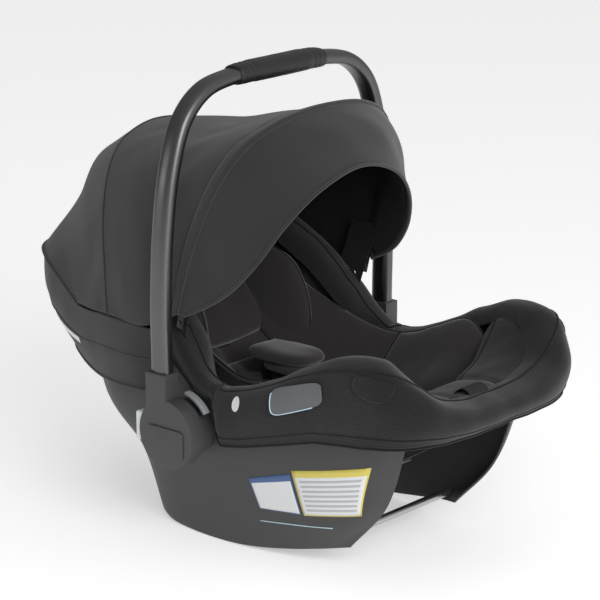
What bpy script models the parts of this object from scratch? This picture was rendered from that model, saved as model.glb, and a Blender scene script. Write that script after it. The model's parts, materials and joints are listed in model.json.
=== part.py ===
"""Infant car seat with a carry handle, a folding canopy, a padded bucket and a rocker shell.

Metres. +X runs towards the child's feet, +Y to the child's left and +Z up. The origin is the
centre of the seat's footprint on the floor. Left is +Y and right is -Y.
"""

import math

import bmesh
import bpy
import numpy as np
from mathutils import Matrix, Vector

# Driving dimensions
HUB_X = -0.0225  # the handle's axis
HUB_Z = 0.153
HUB_RADIUS = 0.042
LEG_X = -0.0375  # the handle's legs stand a little behind the axis
TUBE_HALF = (0.0135, 0.0090)  # half the tube's depth along X, and half its thickness
GRIP_HALF_LENGTH = 0.075
CANOPY_X = -0.0400  # the canopy's axis
CANOPY_Z = 0.2700
SHELL_WALL = 0.0030
BUCKET_WALL = 0.0030
GAP = 0.0005
SIDES = ((1, "left"), (-1, "right"))

COLOURS = {
    "shell_plastic": ((0.060, 0.060, 0.061), 0.55, 0.0),
    "hub_plastic": ((0.062, 0.062, 0.064), 0.45, 0.0),
    "black_plastic": ((0.012, 0.012, 0.013), 0.5, 0.0),
    "button_grey": ((0.42, 0.43, 0.43), 0.4, 0.0),
    "button_white": ((0.80, 0.81, 0.82), 0.4, 0.0),
    "anodised_tube": ((0.075, 0.075, 0.077), 0.35, 0.9),
    "grip_leather": ((0.018, 0.017, 0.016), 0.5, 0.0),
    "canopy_fabric": ((0.022, 0.020, 0.020), 0.95, 0.0),
    "knit_fabric": ((0.010, 0.010, 0.011), 0.95, 0.0),
    "liner_fabric": ((0.018, 0.016, 0.016), 0.95, 0.0),
    "foam": ((0.10, 0.10, 0.10), 0.95, 0.0),
    "webbing": ((0.015, 0.015, 0.016), 0.8, 0.0),
    "steel": ((0.55, 0.55, 0.56), 0.3, 1.0),
    "buckle_red": ((0.45, 0.02, 0.02), 0.4, 0.0),
    "badge_plastic": ((0.12, 0.12, 0.125), 0.45, 0.0),
}


# Scene, materials and modifiers

def clear_scene():
    for old in list(bpy.data.objects):
        bpy.data.objects.remove(old)


def new_collection(name):
    made = bpy.data.collections.new(name)
    bpy.context.scene.collection.children.link(made)
    return made


def material(slot):
    if slot in bpy.data.materials:
        return bpy.data.materials[slot]
    colour, roughness, metallic = COLOURS[slot]
    made = bpy.data.materials.new(slot)
    made.use_nodes = True
    shader = made.node_tree.nodes["Principled BSDF"]
    shader.inputs["Base Color"].default_value = (*colour, 1.0)
    shader.inputs["Roughness"].default_value = roughness
    shader.inputs["Metallic"].default_value = metallic
    made.diffuse_color = (*colour, 1.0)
    return made


def add_object(name, mesh, slot, origin=(0, 0, 0)):
    """An object whose origin is at the given point, with its mesh left where it is."""
    mesh.transform(Matrix.Translation(-Vector(origin)))
    made = bpy.data.objects.new(name, mesh)
    made.location = origin
    mesh.materials.append(material(slot))
    mesh.shade_smooth()
    mesh.set_sharp_from_angle(angle=math.radians(40))
    PARTS.objects.link(made)
    return made


def solidify(obj, thickness, side=-1):
    thick = obj.modifiers.new("Thickness", "SOLIDIFY")
    thick.thickness = thickness
    thick.offset = side
    thick.use_even_offset = False
    thick.use_quality_normals = True
    return obj


def bevel(obj, width, segments=2, angle=35):
    edge = obj.modifiers.new("Rounded edges", "BEVEL")
    edge.width = width
    edge.segments = segments
    edge.limit_method = "ANGLE"
    edge.angle_limit = math.radians(angle)
    return obj


def boolean(obj, other, operation="DIFFERENCE"):
    cut = obj.modifiers.new(operation.title(), "BOOLEAN")
    cut.object = other
    cut.operation = operation
    if other.name not in CUTTERS.objects:
        PARTS.objects.unlink(other)
        CUTTERS.objects.link(other)
    other.hide_render = True
    other.display_type = "WIRE"
    return obj


# Curves and surfaces

def spline(points, count):
    """Points spaced evenly along a smooth curve through the given points."""
    knots = np.array(points, float)
    step = np.linalg.norm(np.diff(knots, axis=0), axis=1)
    at = np.concatenate([[0], np.cumsum(np.sqrt(step))])
    slope = np.gradient(knots, at, axis=0)
    fine = []
    for i in range(len(knots) - 1):
        width = at[i + 1] - at[i]
        for t in np.linspace(0, 1, 16, endpoint=i == len(knots) - 2):
            fine.append(
                (2 * t**3 - 3 * t**2 + 1) * knots[i]
                + (t**3 - 2 * t**2 + t) * width * slope[i]
                + (3 * t**2 - 2 * t**3) * knots[i + 1]
                + (t**3 - t**2) * width * slope[i + 1]
            )
    fine = np.array(fine)
    run = np.concatenate([[0], np.cumsum(np.linalg.norm(np.diff(fine, axis=0), axis=1))])
    wanted = np.linspace(0, run[-1], count)
    return np.stack([np.interp(wanted, run, fine[:, k]) for k in range(fine.shape[1])], -1)


def loft(rails, stations, rows):
    """A grid of points between rails, each a list of points that runs the same way."""
    along = np.stack([spline(rail, stations) for rail in rails], 1)
    return np.stack([spline(column, rows) for column in along])


def both_sides(half):
    """A grid whose last column lies on the middle plane, carried over to the other side."""
    other = half[-2::-1].copy()
    other[..., 1] *= -1
    return np.concatenate([half, other])


def normals(grid):
    found = np.cross(np.gradient(grid, axis=0), np.gradient(grid, axis=1))
    return found / np.maximum(np.linalg.norm(found, axis=-1, keepdims=True), 1e-12)


def grid_mesh(grid, name, closed_u=False, closed_v=False):
    """A mesh of quads over a grid of points, joined to itself where it is closed."""
    count_u, count_v = grid.shape[:2]
    shape = bmesh.new()
    points = [[shape.verts.new(p) for p in row] for row in grid]
    for i in range(count_u if closed_u else count_u - 1):
        for j in range(count_v if closed_v else count_v - 1):
            following = points[(i + 1) % count_u]
            shape.faces.new(
                (
                    points[i][j],
                    following[j],
                    following[(j + 1) % count_v],
                    points[i][(j + 1) % count_v],
                )
            )
    if closed_v and not closed_u:
        shape.faces.new(list(reversed(points[0])))
        shape.faces.new(points[-1])
        bmesh.ops.recalc_face_normals(shape, faces=shape.faces)
    if closed_u and closed_v:
        bmesh.ops.recalc_face_normals(shape, faces=shape.faces)
    mesh = bpy.data.meshes.new(name)
    shape.to_mesh(mesh)
    shape.free()
    return mesh


def sheet(name, grid, thickness, slot, closed_u=False, facing=None, thick_away=False):
    """A skin on a grid of points, as thick as given towards the middle of its shape or away from it."""
    out = grid - grid.mean((0, 1)) if facing is None else np.array(facing, float)
    if (normals(grid) * out).sum() < 0:
        grid = grid[:, ::-1]
    made = add_object(name, grid_mesh(grid, name, closed_u), slot)
    return solidify(made, thickness, 1 if thick_away else -1)


def sections(path, outline, up=(0, 0, 1), up_from=None, swap=False):
    """A grid with an outline of (across, up) offsets at each point of a path.

    Up is one direction, or the way out from the point up_from."""
    path = np.array(path, float)
    ahead = np.gradient(path, axis=0)
    ahead /= np.linalg.norm(ahead, axis=1, keepdims=True)
    over = np.tile(np.array(up, float), (len(path), 1))
    if up_from is not None:
        over = path - np.array(up_from, float)
    over -= (over * ahead).sum(1, keepdims=True) * ahead
    over /= np.linalg.norm(over, axis=1, keepdims=True)
    across = np.cross(ahead, over)
    outline = np.array(outline, float)
    if swap:
        outline = outline[:, ::-1]
    return path[:, None] + across[:, None] * outline[None, :, :1] + over[:, None] * outline[None, :, 1:]


def sweep(name, path, outline, slot, **turn):
    """A solid bar with one outline along a path."""
    return add_object(name, grid_mesh(sections(path, outline, **turn), name, closed_v=True), slot)


def sleeve(name, path, outer, bore, slot):
    """A bar with a bore right through it, along the handle's path."""
    outside = sections(path, outer, up=(1, 0, 0), swap=True)
    inside = sections(path, bore, up=(1, 0, 0), swap=True)
    grid = np.concatenate([outside, inside[::-1]])
    return add_object(name, grid_mesh(grid, name, closed_u=True, closed_v=True), slot)


def superellipse(half_width, half_height, power=2.0, count=12):
    """An outline of offsets, an ellipse at power 2 and squarer above it."""
    outline = []
    for turn in np.linspace(0, 2 * math.pi, count, endpoint=False) + math.pi / count:
        c, s = math.cos(turn), math.sin(turn)
        outline.append(
            (
                half_width * math.copysign(abs(c) ** (2 / power), c),
                half_height * math.copysign(abs(s) ** (2 / power), s),
            )
        )
    return outline


def turned(name, profile, slot, origin, steps=32):
    """A closed profile of (radius, out) points turned about an axis along Y through origin.

    A profile that starts and ends on the axis makes a solid disc, and any other a ring."""
    shape = bmesh.new()
    verts = [shape.verts.new((r, 0, out)) for r, out in profile]
    edges = [shape.edges.new(pair) for pair in zip(verts, verts[1:])]
    if profile[0][0] > 0:
        edges.append(shape.edges.new((verts[-1], verts[0])))
    bmesh.ops.spin(
        shape,
        geom=verts + edges,
        axis=(0, 0, 1),
        cent=(0, 0, 0),
        angle=2 * math.pi,
        steps=steps,
        use_merge=True,
        use_duplicate=False,
    )
    bmesh.ops.remove_doubles(shape, verts=shape.verts, dist=1e-6)
    shape.transform(Matrix.Rotation(-math.pi / 2, 4, "X"))
    bmesh.ops.recalc_face_normals(shape, faces=shape.faces)
    mesh = bpy.data.meshes.new(name)
    shape.to_mesh(mesh)
    shape.free()
    mesh.transform(Matrix.Translation(origin))
    return add_object(name, mesh, slot, origin)


def box(name, low, high, slot, origin=None, turn=None):
    """A box between two corners, turned about its middle where turn is a matrix."""
    low, high = Vector(low), Vector(high)
    middle = (low + high) / 2
    shape = bmesh.new()
    bmesh.ops.create_cube(shape, size=1)
    bmesh.ops.scale(shape, vec=high - low, verts=shape.verts)
    if turn:
        shape.transform(turn)
    mesh = bpy.data.meshes.new(name)
    shape.to_mesh(mesh)
    shape.free()
    mesh.transform(Matrix.Translation(middle))
    return add_object(name, mesh, slot, origin or middle)


def cylinder(name, start, end, radius, slot, sides=24):
    start, end = Vector(start), Vector(end)
    along = end - start
    shape = bmesh.new()
    bmesh.ops.create_cone(
        shape, cap_ends=True, segments=sides, radius1=radius, radius2=radius, depth=along.length
    )
    shape.transform(along.to_track_quat("Z", "Y").to_matrix().to_4x4())
    mesh = bpy.data.meshes.new(name)
    shape.to_mesh(mesh)
    shape.free()
    mesh.transform(Matrix.Translation((start + end) / 2))
    return add_object(name, mesh, slot, (start + end) / 2)


# The shell. Each rail runs from the front free edge, along the left side, to the middle of the back.

SHELL_BOTTOM = (
    (0.166, 0.100, 0.026), (0.130, 0.113, 0.019), (0.090, 0.121, 0.011), (0.040, 0.127, 0.003),
    (0.000, 0.130, 0.000), (-0.060, 0.129, 0.000), (-0.105, 0.122, 0.003), (-0.135, 0.105, 0.010),
    (-0.152, 0.070, 0.014), (-0.160, 0.000, 0.016),
)
SHELL_LOWER = (
    (0.2225, 0.102, 0.090), (0.205, 0.125, 0.085), (0.160, 0.138, 0.080), (0.100, 0.145, 0.080),
    (0.030, 0.149, 0.080), (-0.040, 0.149, 0.080), (-0.100, 0.144, 0.085), (-0.145, 0.128, 0.090),
    (-0.172, 0.090, 0.090), (-0.185, 0.000, 0.090),
)
SHELL_UPPER = (
    (0.252, 0.106, 0.170), (0.235, 0.135, 0.170), (0.190, 0.153, 0.168), (0.120, 0.161, 0.165),
    (0.050, 0.165, 0.160), (-0.040, 0.166, 0.155), (-0.120, 0.162, 0.155), (-0.185, 0.145, 0.155),
    (-0.235, 0.100, 0.160), (-0.255, 0.000, 0.165),
)
SHELL_TOP = (
    (0.270, 0.118, 0.222), (0.252, 0.145, 0.262), (0.190, 0.157, 0.258), (0.120, 0.161, 0.226),
    (0.060, 0.165, 0.200), (0.020, 0.166, 0.192), (-0.030, 0.163, 0.232), (-0.090, 0.153, 0.284),
    (-0.160, 0.139, 0.324), (-0.220, 0.109, 0.354), (-0.243, 0.068, 0.370), (-0.251, 0.000, 0.376),
)
HUB_HOLE_RADIUS = 0.0066


def shell_grid(stations, rows):
    return both_sides(loft((SHELL_BOTTOM, SHELL_LOWER, SHELL_UPPER, SHELL_TOP), stations, rows))


def make_shell():
    shell = sheet("outer_shell", shell_grid(26, 9), SHELL_WALL, "shell_plastic")
    for side, name in SIDES:
        hole = cylinder(
            f"shell_hole_{name}", (HUB_X, side * 0.15, HUB_Z), (HUB_X, side * 0.18, HUB_Z),
            HUB_HOLE_RADIUS, "steel",
        )
        boolean(shell, hole)
    for name, x, z, half in (("front", 0.150, 0.036, 0.1065), ("rear", -0.118, 0.036, 0.1060)):
        cylinder(f"{name}_dock_bar", (x, -half, z), (x, half, z), 0.005, "steel", 16)


# The bucket. Each row is one section: its rim (x, half width, z) and its middle (x, z).

BUCKET_SECTIONS = (
    ((0.256, 0.106, 0.212), (0.272, 0.188)),
    ((0.238, 0.130, 0.244), (0.250, 0.176)),
    ((0.195, 0.145, 0.246), (0.206, 0.155)),
    ((0.130, 0.150, 0.220), (0.135, 0.124)),
    ((0.060, 0.153, 0.194), (0.060, 0.100)),
    ((0.005, 0.154, 0.198), (-0.020, 0.096)),
    ((-0.050, 0.151, 0.246), (-0.100, 0.133)),
    ((-0.110, 0.143, 0.290), (-0.165, 0.195)),
    ((-0.170, 0.127, 0.324), (-0.208, 0.258)),
    ((-0.212, 0.100, 0.346), (-0.230, 0.312)),
    ((-0.230, 0.070, 0.358), (-0.239, 0.345)),
)
BUCKET_STATIONS = 22
HALF_TURNS = (0.18, 0.36, 0.53, 0.69, 0.83, 0.945, 1.0)
TURNS = np.array([*[-turn for turn in reversed(HALF_TURNS)], 0.0, *HALF_TURNS])
MIDDLE = len(HALF_TURNS)
# How far each layer starts from the bucket's inner face, its slot, its stations, and its
# thickness at each column from the middle out.
LAYERS = {
    "foam_liner": (0.0045, "foam", (1, 20), (0.009,) * 7),
    "seat_pad": (0.0150, "liner_fabric", (1, 21), (0.008,) * 4),
    "body_insert": (0.0245, "liner_fabric", (5, 14), (0.012, 0.012, 0.014, 0.016, 0.010)),
    "head_pad": (0.0245, "liner_fabric", (14, 20), (0.014, 0.016, 0.030, 0.042, 0.036, 0.014)),
}
# The liner's side panels run from the seam beside the seat pad up to the rim, in two lengths.
SEAM_COLUMN = 3
SIDE_COLUMNS = 4
SEAM_SHARE = 0.03
PANEL_JOINT_SHARE = 0.22
SIDE_PANELS = {"front": (1, 8), "rear": (8, 21)}
PAD_TOP = 0.0230
SEAT_TOP = 0.0365
WEBBING_HALF = (0.0170, 0.0007)
STRAPS = {
    "adjuster_strap": ((0.232, 0.210), (0.256, 0.219), (0.282, 0.2225), (0.300, 0.2240), (0.318, 0.2225)),
    "lower_front_strap": ((0.255, 0.160), (0.232, 0.148), (0.200, 0.130), (0.163, 0.108)),
    "lower_rear_strap": ((0.124, 0.088), (0.080, 0.078), (0.020, 0.072), (-0.060, 0.084)),
    "crotch_strap": ((0.010, 0.146), (0.004, 0.156), (0.000, 0.168)),
}
BUCKLE_PLACE = (-0.004, 0, 0.170)
ADJUSTER_STATION = 3.0
STRAP_CLEARANCE = 0.0085
CROTCH_PAD_HALF = (0.035, 0.010)
CROTCH_PAD = ((-0.076, 0.198), (-0.048, 0.211), (-0.010, 0.214), (0.030, 0.205))


def bucket_grid():
    """Sections from the front lip to the head."""
    rims = spline([rim for rim, _ in BUCKET_SECTIONS], BUCKET_STATIONS)
    middles = spline([(x, 0, z) for _, (x, z) in BUCKET_SECTIONS], BUCKET_STATIONS)
    turns = TURNS * math.pi / 2
    width = np.sign(turns) * np.abs(np.sin(turns)) ** 0.8
    drop = np.maximum(np.cos(turns), 0) ** 0.8
    grid = rims[:, None] + (middles - rims)[:, None] * drop[None, :, None]
    grid[..., 1] = rims[:, 1][:, None] * width[None]
    return grid


def seat_layer(distance):
    """The bucket's grid moved up into the seat by a distance."""
    grid = bucket_grid()
    return grid + bucket_facing(grid) * distance


def seat_frame(station, distance):
    """A matrix at a place along the seat's middle: X runs to the feet, Y left, Z off the seat."""
    line = seat_layer(distance)[:, MIDDLE]
    whole = min(int(station), len(line) - 2)
    point = line[whole] + (line[whole + 1] - line[whole]) * (station - whole)
    ahead = Vector(line[max(whole - 1, 0)] - line[whole + 1]).normalized()
    left = Vector((0, 1, 0))
    frame = Matrix((ahead, left, ahead.cross(left))).transposed().to_4x4()
    frame.translation = Vector(point)
    return frame


def pad_between(name, grid, facing, near, height, slot):
    """A closed pad over a grid, from near to near plus height off it."""
    under, over = grid + facing * near, grid + facing * (near + height)
    loops = np.concatenate([over, under[:, ::-1]], 1)
    return add_object(name, grid_mesh(loops, name, closed_v=True), slot)


def bucket_facing(grid):
    facing = normals(grid)
    return -facing if facing[..., 2].sum() < 0 else facing


def cushion(name, near, slot, stations, thickness):
    """A closed pad across the middle of the bucket, between two stations."""
    reach = len(thickness) - 1
    columns = slice(MIDDLE - reach, MIDDLE + reach + 1)
    grid = bucket_grid()
    facing = bucket_facing(grid)
    height = np.array([*thickness[reach:0:-1], *thickness])[None, :, None]
    part = (slice(*stations), columns)
    return pad_between(name, grid[part], facing[part], near, height, slot)


def make_side_panels():
    """The liner's walls, each a seam's width from the seat pad and from the next panel."""
    near, slot, _, thickness = LAYERS["seat_pad"]
    for side, name in SIDES:
        grid = bucket_grid()
        facing = bucket_facing(grid)
        columns = [MIDDLE + side * (SEAM_COLUMN + step) for step in range(SIDE_COLUMNS)]
        grid, facing = grid[:, columns], facing[:, columns]
        grid[:, 0] += (grid[:, 1] - grid[:, 0]) * SEAM_SHARE
        for place, (first, last) in SIDE_PANELS.items():
            piece, off = grid[first : last + 1].copy(), facing[first : last + 1].copy()
            if last < SIDE_PANELS["rear"][1]:
                piece[-1] += (piece[-2] - piece[-1]) * PANEL_JOINT_SHARE
            else:
                piece, off = piece[:-1], off[:-1]
            if side < 0:
                piece, off = piece[:, ::-1], off[:, ::-1]
            pad_between(f"side_panel_{place}_{name}", piece, off, near, thickness[0], slot)


def make_bucket():
    sheet("seat_bucket", bucket_grid(), BUCKET_WALL, "black_plastic")
    for name, (near, slot, stations, thickness) in LAYERS.items():
        cushion(name, near, slot, stations, thickness)
    make_side_panels()


# The cover over the rim. Its crest runs from the middle of the front to the middle of the back.

CREST = (
    (0.300, 0.000, 0.218), (0.298, 0.055, 0.222), (0.288, 0.100, 0.238), (0.270, 0.134, 0.264),
    (0.240, 0.155, 0.284), (0.190, 0.163, 0.273), (0.120, 0.167, 0.242), (0.060, 0.169, 0.218),
    (0.018, 0.170, 0.210), (-0.015, 0.170, 0.228), (-0.045, 0.167, 0.260), (-0.095, 0.160, 0.303),
    (-0.160, 0.147, 0.342), (-0.220, 0.118, 0.374), (-0.250, 0.076, 0.390), (-0.262, 0.000, 0.396),
)
# Places along the crest, as (its x, height of the lower edge, how full the side is).
HEM = (
    (-0.262, 0.365, 0.15), (-0.200, 0.330, 0.15), (-0.095, 0.250, 0.20), (-0.050, 0.228, 0.30),
    (-0.012, 0.199, 0.35), (0.016, 0.194, 0.40), (0.024, 0.152, 0.60), (0.032, 0.143, 0.90),
    (0.070, 0.150, 1.00), (0.173, 0.178, 1.00), (0.250, 0.186, 1.00), (0.300, 0.190, 1.00),
)
COVER_THICKNESS = 0.0025
LIP_WIDENING = 1.0
COVER_STATIONS = 34


def outward(path):
    """Horizontal unit vectors that point out of a closed loop of points."""
    ahead = np.roll(path, -1, axis=0) - np.roll(path, 1, axis=0)
    side = np.stack([ahead[:, 1], -ahead[:, 0], 0 * ahead[:, 0]], -1)
    side /= np.linalg.norm(side, axis=1, keepdims=True)
    return side if (side[:, 1] * path[:, 1]).sum() > 0 else -side


def cover_grid():
    """Rows round the rim, from the edge inside the seat, over the crest, to the hem outside."""
    crest = both_sides(spline(CREST, COVER_STATIONS))[:-1]
    place, height, fullness = np.transpose(HEM)
    hem = np.interp(crest[:, 0], place, height)
    full = np.interp(crest[:, :1], place, fullness)
    out = outward(crest)
    nose = np.clip((crest[:, :1] - 0.20) / 0.09, 0, 1) ** 1.5
    rows = []
    for reach, fall in ((-0.028, 0.018), (-0.023, 0.007), (-0.013, 0.0005), (-0.003, 0.0005)):
        rows.append(crest + out * reach * (1 + LIP_WIDENING * nose) - np.array((0, 0, fall)))
    for share, bulge in ((0.08, 0.009), (0.35, 0.017), (0.70, 0.0165), (1.0, 0.0115)):
        forward = 0.026 * nose * math.sin(math.pi * (0.25 + share * 0.5))
        row = crest + out * (bulge * full + forward)
        row[:, 2] = crest[:, 2] - 0.004 + (hem - crest[:, 2] + 0.004) * share
        rows.append(row)
    return np.stack(rows, 1)


def make_cover():
    grid = cover_grid()
    sheet("seat_cover", grid, COVER_THICKNESS, "knit_fabric", closed_u=True)
    crest_x = grid[:, 4, 0]
    for side, name in SIDES:
        near = [i for i in range(len(grid)) if side * grid[i, 4, 1] > 0 and 0.110 < crest_x[i] < 0.205]
        patch = np.stack([spline(row, 9) for row in grid[near][:, 4:8]])[:, 1:6]
        patch = patch + np.array((0, side * 0.0008, 0))
        sheet(f"badge_{name}", patch, 0.0016, "badge_plastic", facing=(0, side, 0), thick_away=True)


# The canopy. Each arch runs from its foot on the left to the middle.

VISOR_EDGE = (
    (-0.030, 0.172, 0.288), (0.000, 0.168, 0.303), (0.026, 0.157, 0.322), (0.055, 0.140, 0.358),
    (0.075, 0.115, 0.400), (0.090, 0.070, 0.438), (0.095, 0.000, 0.457),
)
VISOR_MIDDLE = (
    (-0.034, 0.175, 0.288), (-0.020, 0.174, 0.330), (0.003, 0.168, 0.380), (0.025, 0.155, 0.425),
    (0.048, 0.125, 0.465), (0.065, 0.075, 0.489), (0.072, 0.000, 0.498),
)
RIDGE = (
    (-0.038, 0.176, 0.288), (-0.027, 0.177, 0.330), (-0.010, 0.172, 0.390), (0.008, 0.158, 0.445),
    (0.025, 0.128, 0.490), (0.037, 0.075, 0.515), (0.042, 0.000, 0.524),
)
VALLEY = (
    (-0.095, 0.177, 0.264), (-0.096, 0.177, 0.320), (-0.096, 0.170, 0.380), (-0.095, 0.150, 0.435),
    (-0.093, 0.115, 0.468), (-0.092, 0.060, 0.483), (-0.091, 0.000, 0.487),
)
REAR_ARCH = (
    (-0.160, 0.170, 0.264), (-0.165, 0.168, 0.320), (-0.177, 0.157, 0.375), (-0.195, 0.130, 0.425),
    (-0.215, 0.090, 0.452), (-0.229, 0.045, 0.464), (-0.235, 0.000, 0.468),
)
REAR_DOME = (
    (-0.185, 0.166, 0.264), (-0.200, 0.158, 0.325), (-0.232, 0.132, 0.385), (-0.266, 0.080, 0.425),
    (-0.282, 0.000, 0.438),
)
REAR_CREASE = (
    (-0.205, 0.162, 0.264), (-0.225, 0.152, 0.308), (-0.255, 0.130, 0.350), (-0.288, 0.082, 0.386),
    (-0.302, 0.000, 0.402),
)
REAR_HEM = (
    (-0.225, 0.158, 0.264), (-0.262, 0.149, 0.284), (-0.302, 0.135, 0.303), (-0.335, 0.104, 0.310),
    (-0.345, 0.000, 0.313),
)
BOOT_TOP = (
    (-0.066, 0.177, 0.260), (-0.120, 0.175, 0.260), (-0.170, 0.169, 0.260), (-0.226, 0.157, 0.260),
    (-0.263, 0.148, 0.279), (-0.302, 0.134, 0.298), (-0.335, 0.103, 0.305), (-0.344, 0.000, 0.308),
)
BOOT_BAND = (
    (-0.066, 0.176, 0.225), (-0.120, 0.174, 0.225), (-0.170, 0.167, 0.225), (-0.225, 0.154, 0.225),
    (-0.264, 0.144, 0.236), (-0.302, 0.130, 0.250), (-0.332, 0.100, 0.256), (-0.340, 0.000, 0.258),
)
BOOT_HEM = (
    (-0.073, 0.172, 0.185), (-0.120, 0.169, 0.180), (-0.170, 0.159, 0.177), (-0.215, 0.140, 0.176),
    (-0.250, 0.125, 0.182), (-0.283, 0.105, 0.190), (-0.305, 0.073, 0.200), (-0.315, 0.000, 0.205),
)
CANOPY_CLOTH = 0.0022
SEAM_GAP = 0.0020
BOW_INSET = 0.0065
STUD_RADIUS = 0.0025
EYE_RISE = 0.0070
FRONT_BOW_FOOT = (CANOPY_X, 0.1690, CANOPY_Z)
REAR_BOW_FOOT = (-0.140, 0.1630, 0.2700)
CANOPY_PANELS = {
    "canopy_visor": ((VISOR_EDGE, VISOR_MIDDLE, RIDGE), 14, 6),
    "canopy_middle": ((RIDGE, VALLEY, REAR_ARCH), 14, 8),
    "canopy_rear": ((REAR_ARCH, REAR_DOME, REAR_CREASE, REAR_HEM), 14, 8),
    "boot_cover": ((BOOT_TOP, BOOT_BAND, BOOT_HEM), 20, 6),
}


def make_canopy():
    for name, (rails, stations, rows) in CANOPY_PANELS.items():
        grid = loft(rails, stations, rows)
        if name != "boot_cover":
            grid = trim_rows(grid, SEAM_GAP)
        sheet(name, both_sides(grid), CANOPY_CLOTH, "canopy_fabric")
    for name, arch, foot in (
        ("canopy_front_bow", RIDGE, FRONT_BOW_FOOT),
        ("canopy_rear_bow", REAR_ARCH, REAR_BOW_FOOT),
    ):
        half = np.array([foot, *[inset(point, BOW_INSET) for point in spline(arch, 14)[2:]]])
        bow = sweep(
            name, both_sides(half[:, None])[:, 0], superellipse(0.0050, 0.0012, 4, 8), "black_plastic",
            up_from=(CANOPY_X, 0, CANOPY_Z + 0.05),
        )
        for side, _ in SIDES:
            eye = cylinder(
                f"{name}_hole_{side}", (foot[0], side * 0.15, foot[2] + EYE_RISE),
                (foot[0], side * 0.19, foot[2] + EYE_RISE), STUD_RADIUS + GAP, "steel", 16,
            )
            boolean(bow, eye)
    for side, name in SIDES:
        for bow, (x, y, z) in (("front", FRONT_BOW_FOOT), ("rear", REAR_BOW_FOOT)):
            profile = [(0, y - 0.0050), (0.0075, y - 0.0050), (0.0075, y - 0.0035),
                       (STUD_RADIUS, y - 0.0035), (STUD_RADIUS, y + 0.0025), (0, y + 0.0025)]
            turned(
                f"canopy_{bow}_stud_{name}", [(r, side * out) for r, out in profile], "black_plastic",
                (x, 0, z + EYE_RISE), 16,
            )


def trim_rows(grid, distance):
    """The grid with its first and last rows moved a little way into it."""
    grid = grid.copy()
    for row, following in ((0, 1), (-1, -2)):
        step = grid[:, following] - grid[:, row]
        grid[:, row] += step / np.linalg.norm(step, axis=1, keepdims=True) * distance
    return grid


def inset(point, distance):
    """A point moved towards the inside of the canopy."""
    middle = Vector((point[0], 0, 0.30))
    return tuple(Vector(point) + (middle - Vector(point)).normalized() * distance)


# The handle, its hubs and what holds them

HANDLE_HALF = (
    (0.2025, 0.200), (0.2028, 0.250), (0.2035, 0.300), (0.1985, 0.390), (0.1860, 0.465),
    (0.1640, 0.520), (0.1300, 0.5485), (0.0800, 0.5585), (0.0000, 0.5600),
)
HUB_INNER_Y = 0.1925
HUB_OUTER_Y = 0.2165
SOCKET_TOP_Z = 0.225
BUTTON_TRAVEL = 0.006
BUTTON_Y = 0.2050
BUTTON_Z = 0.154
SPRING_X = -0.0533
SPRING_LENGTH = 0.0088
SPRING_RADIUS = 0.003
SPRING_TURNS = 3.5


def handle_path(count, start=0.0):
    """Points along the handle from the left leg to the right, from a share of its half length."""
    half = spline([(LEG_X, y, z) for y, z in HANDLE_HALF], 81)
    half = half[int(start * 80):]
    fine = both_sides(half[:, None])[:, 0]
    return spline(fine, count)


def make_handle():
    section = superellipse(TUBE_HALF[0], TUBE_HALF[1], 3, 12)
    sweep("handle_tube", handle_path(46), section, "anodised_tube", up=(1, 0, 0), swap=True)
    grip_path = [p for p in handle_path(160) if abs(p[1]) < GRIP_HALF_LENGTH and p[2] > 0.5]
    grip_path = spline(grip_path, 12)
    outer = superellipse(0.0170, 0.0125, 2.6, 12)
    bore = superellipse(TUBE_HALF[0] + GAP, TUBE_HALF[1] + GAP, 3, 12)
    sleeve("handle_grip", grip_path, outer, bore, "grip_leather")
    for side, name in SIDES:
        make_hub(side, name)


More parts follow.
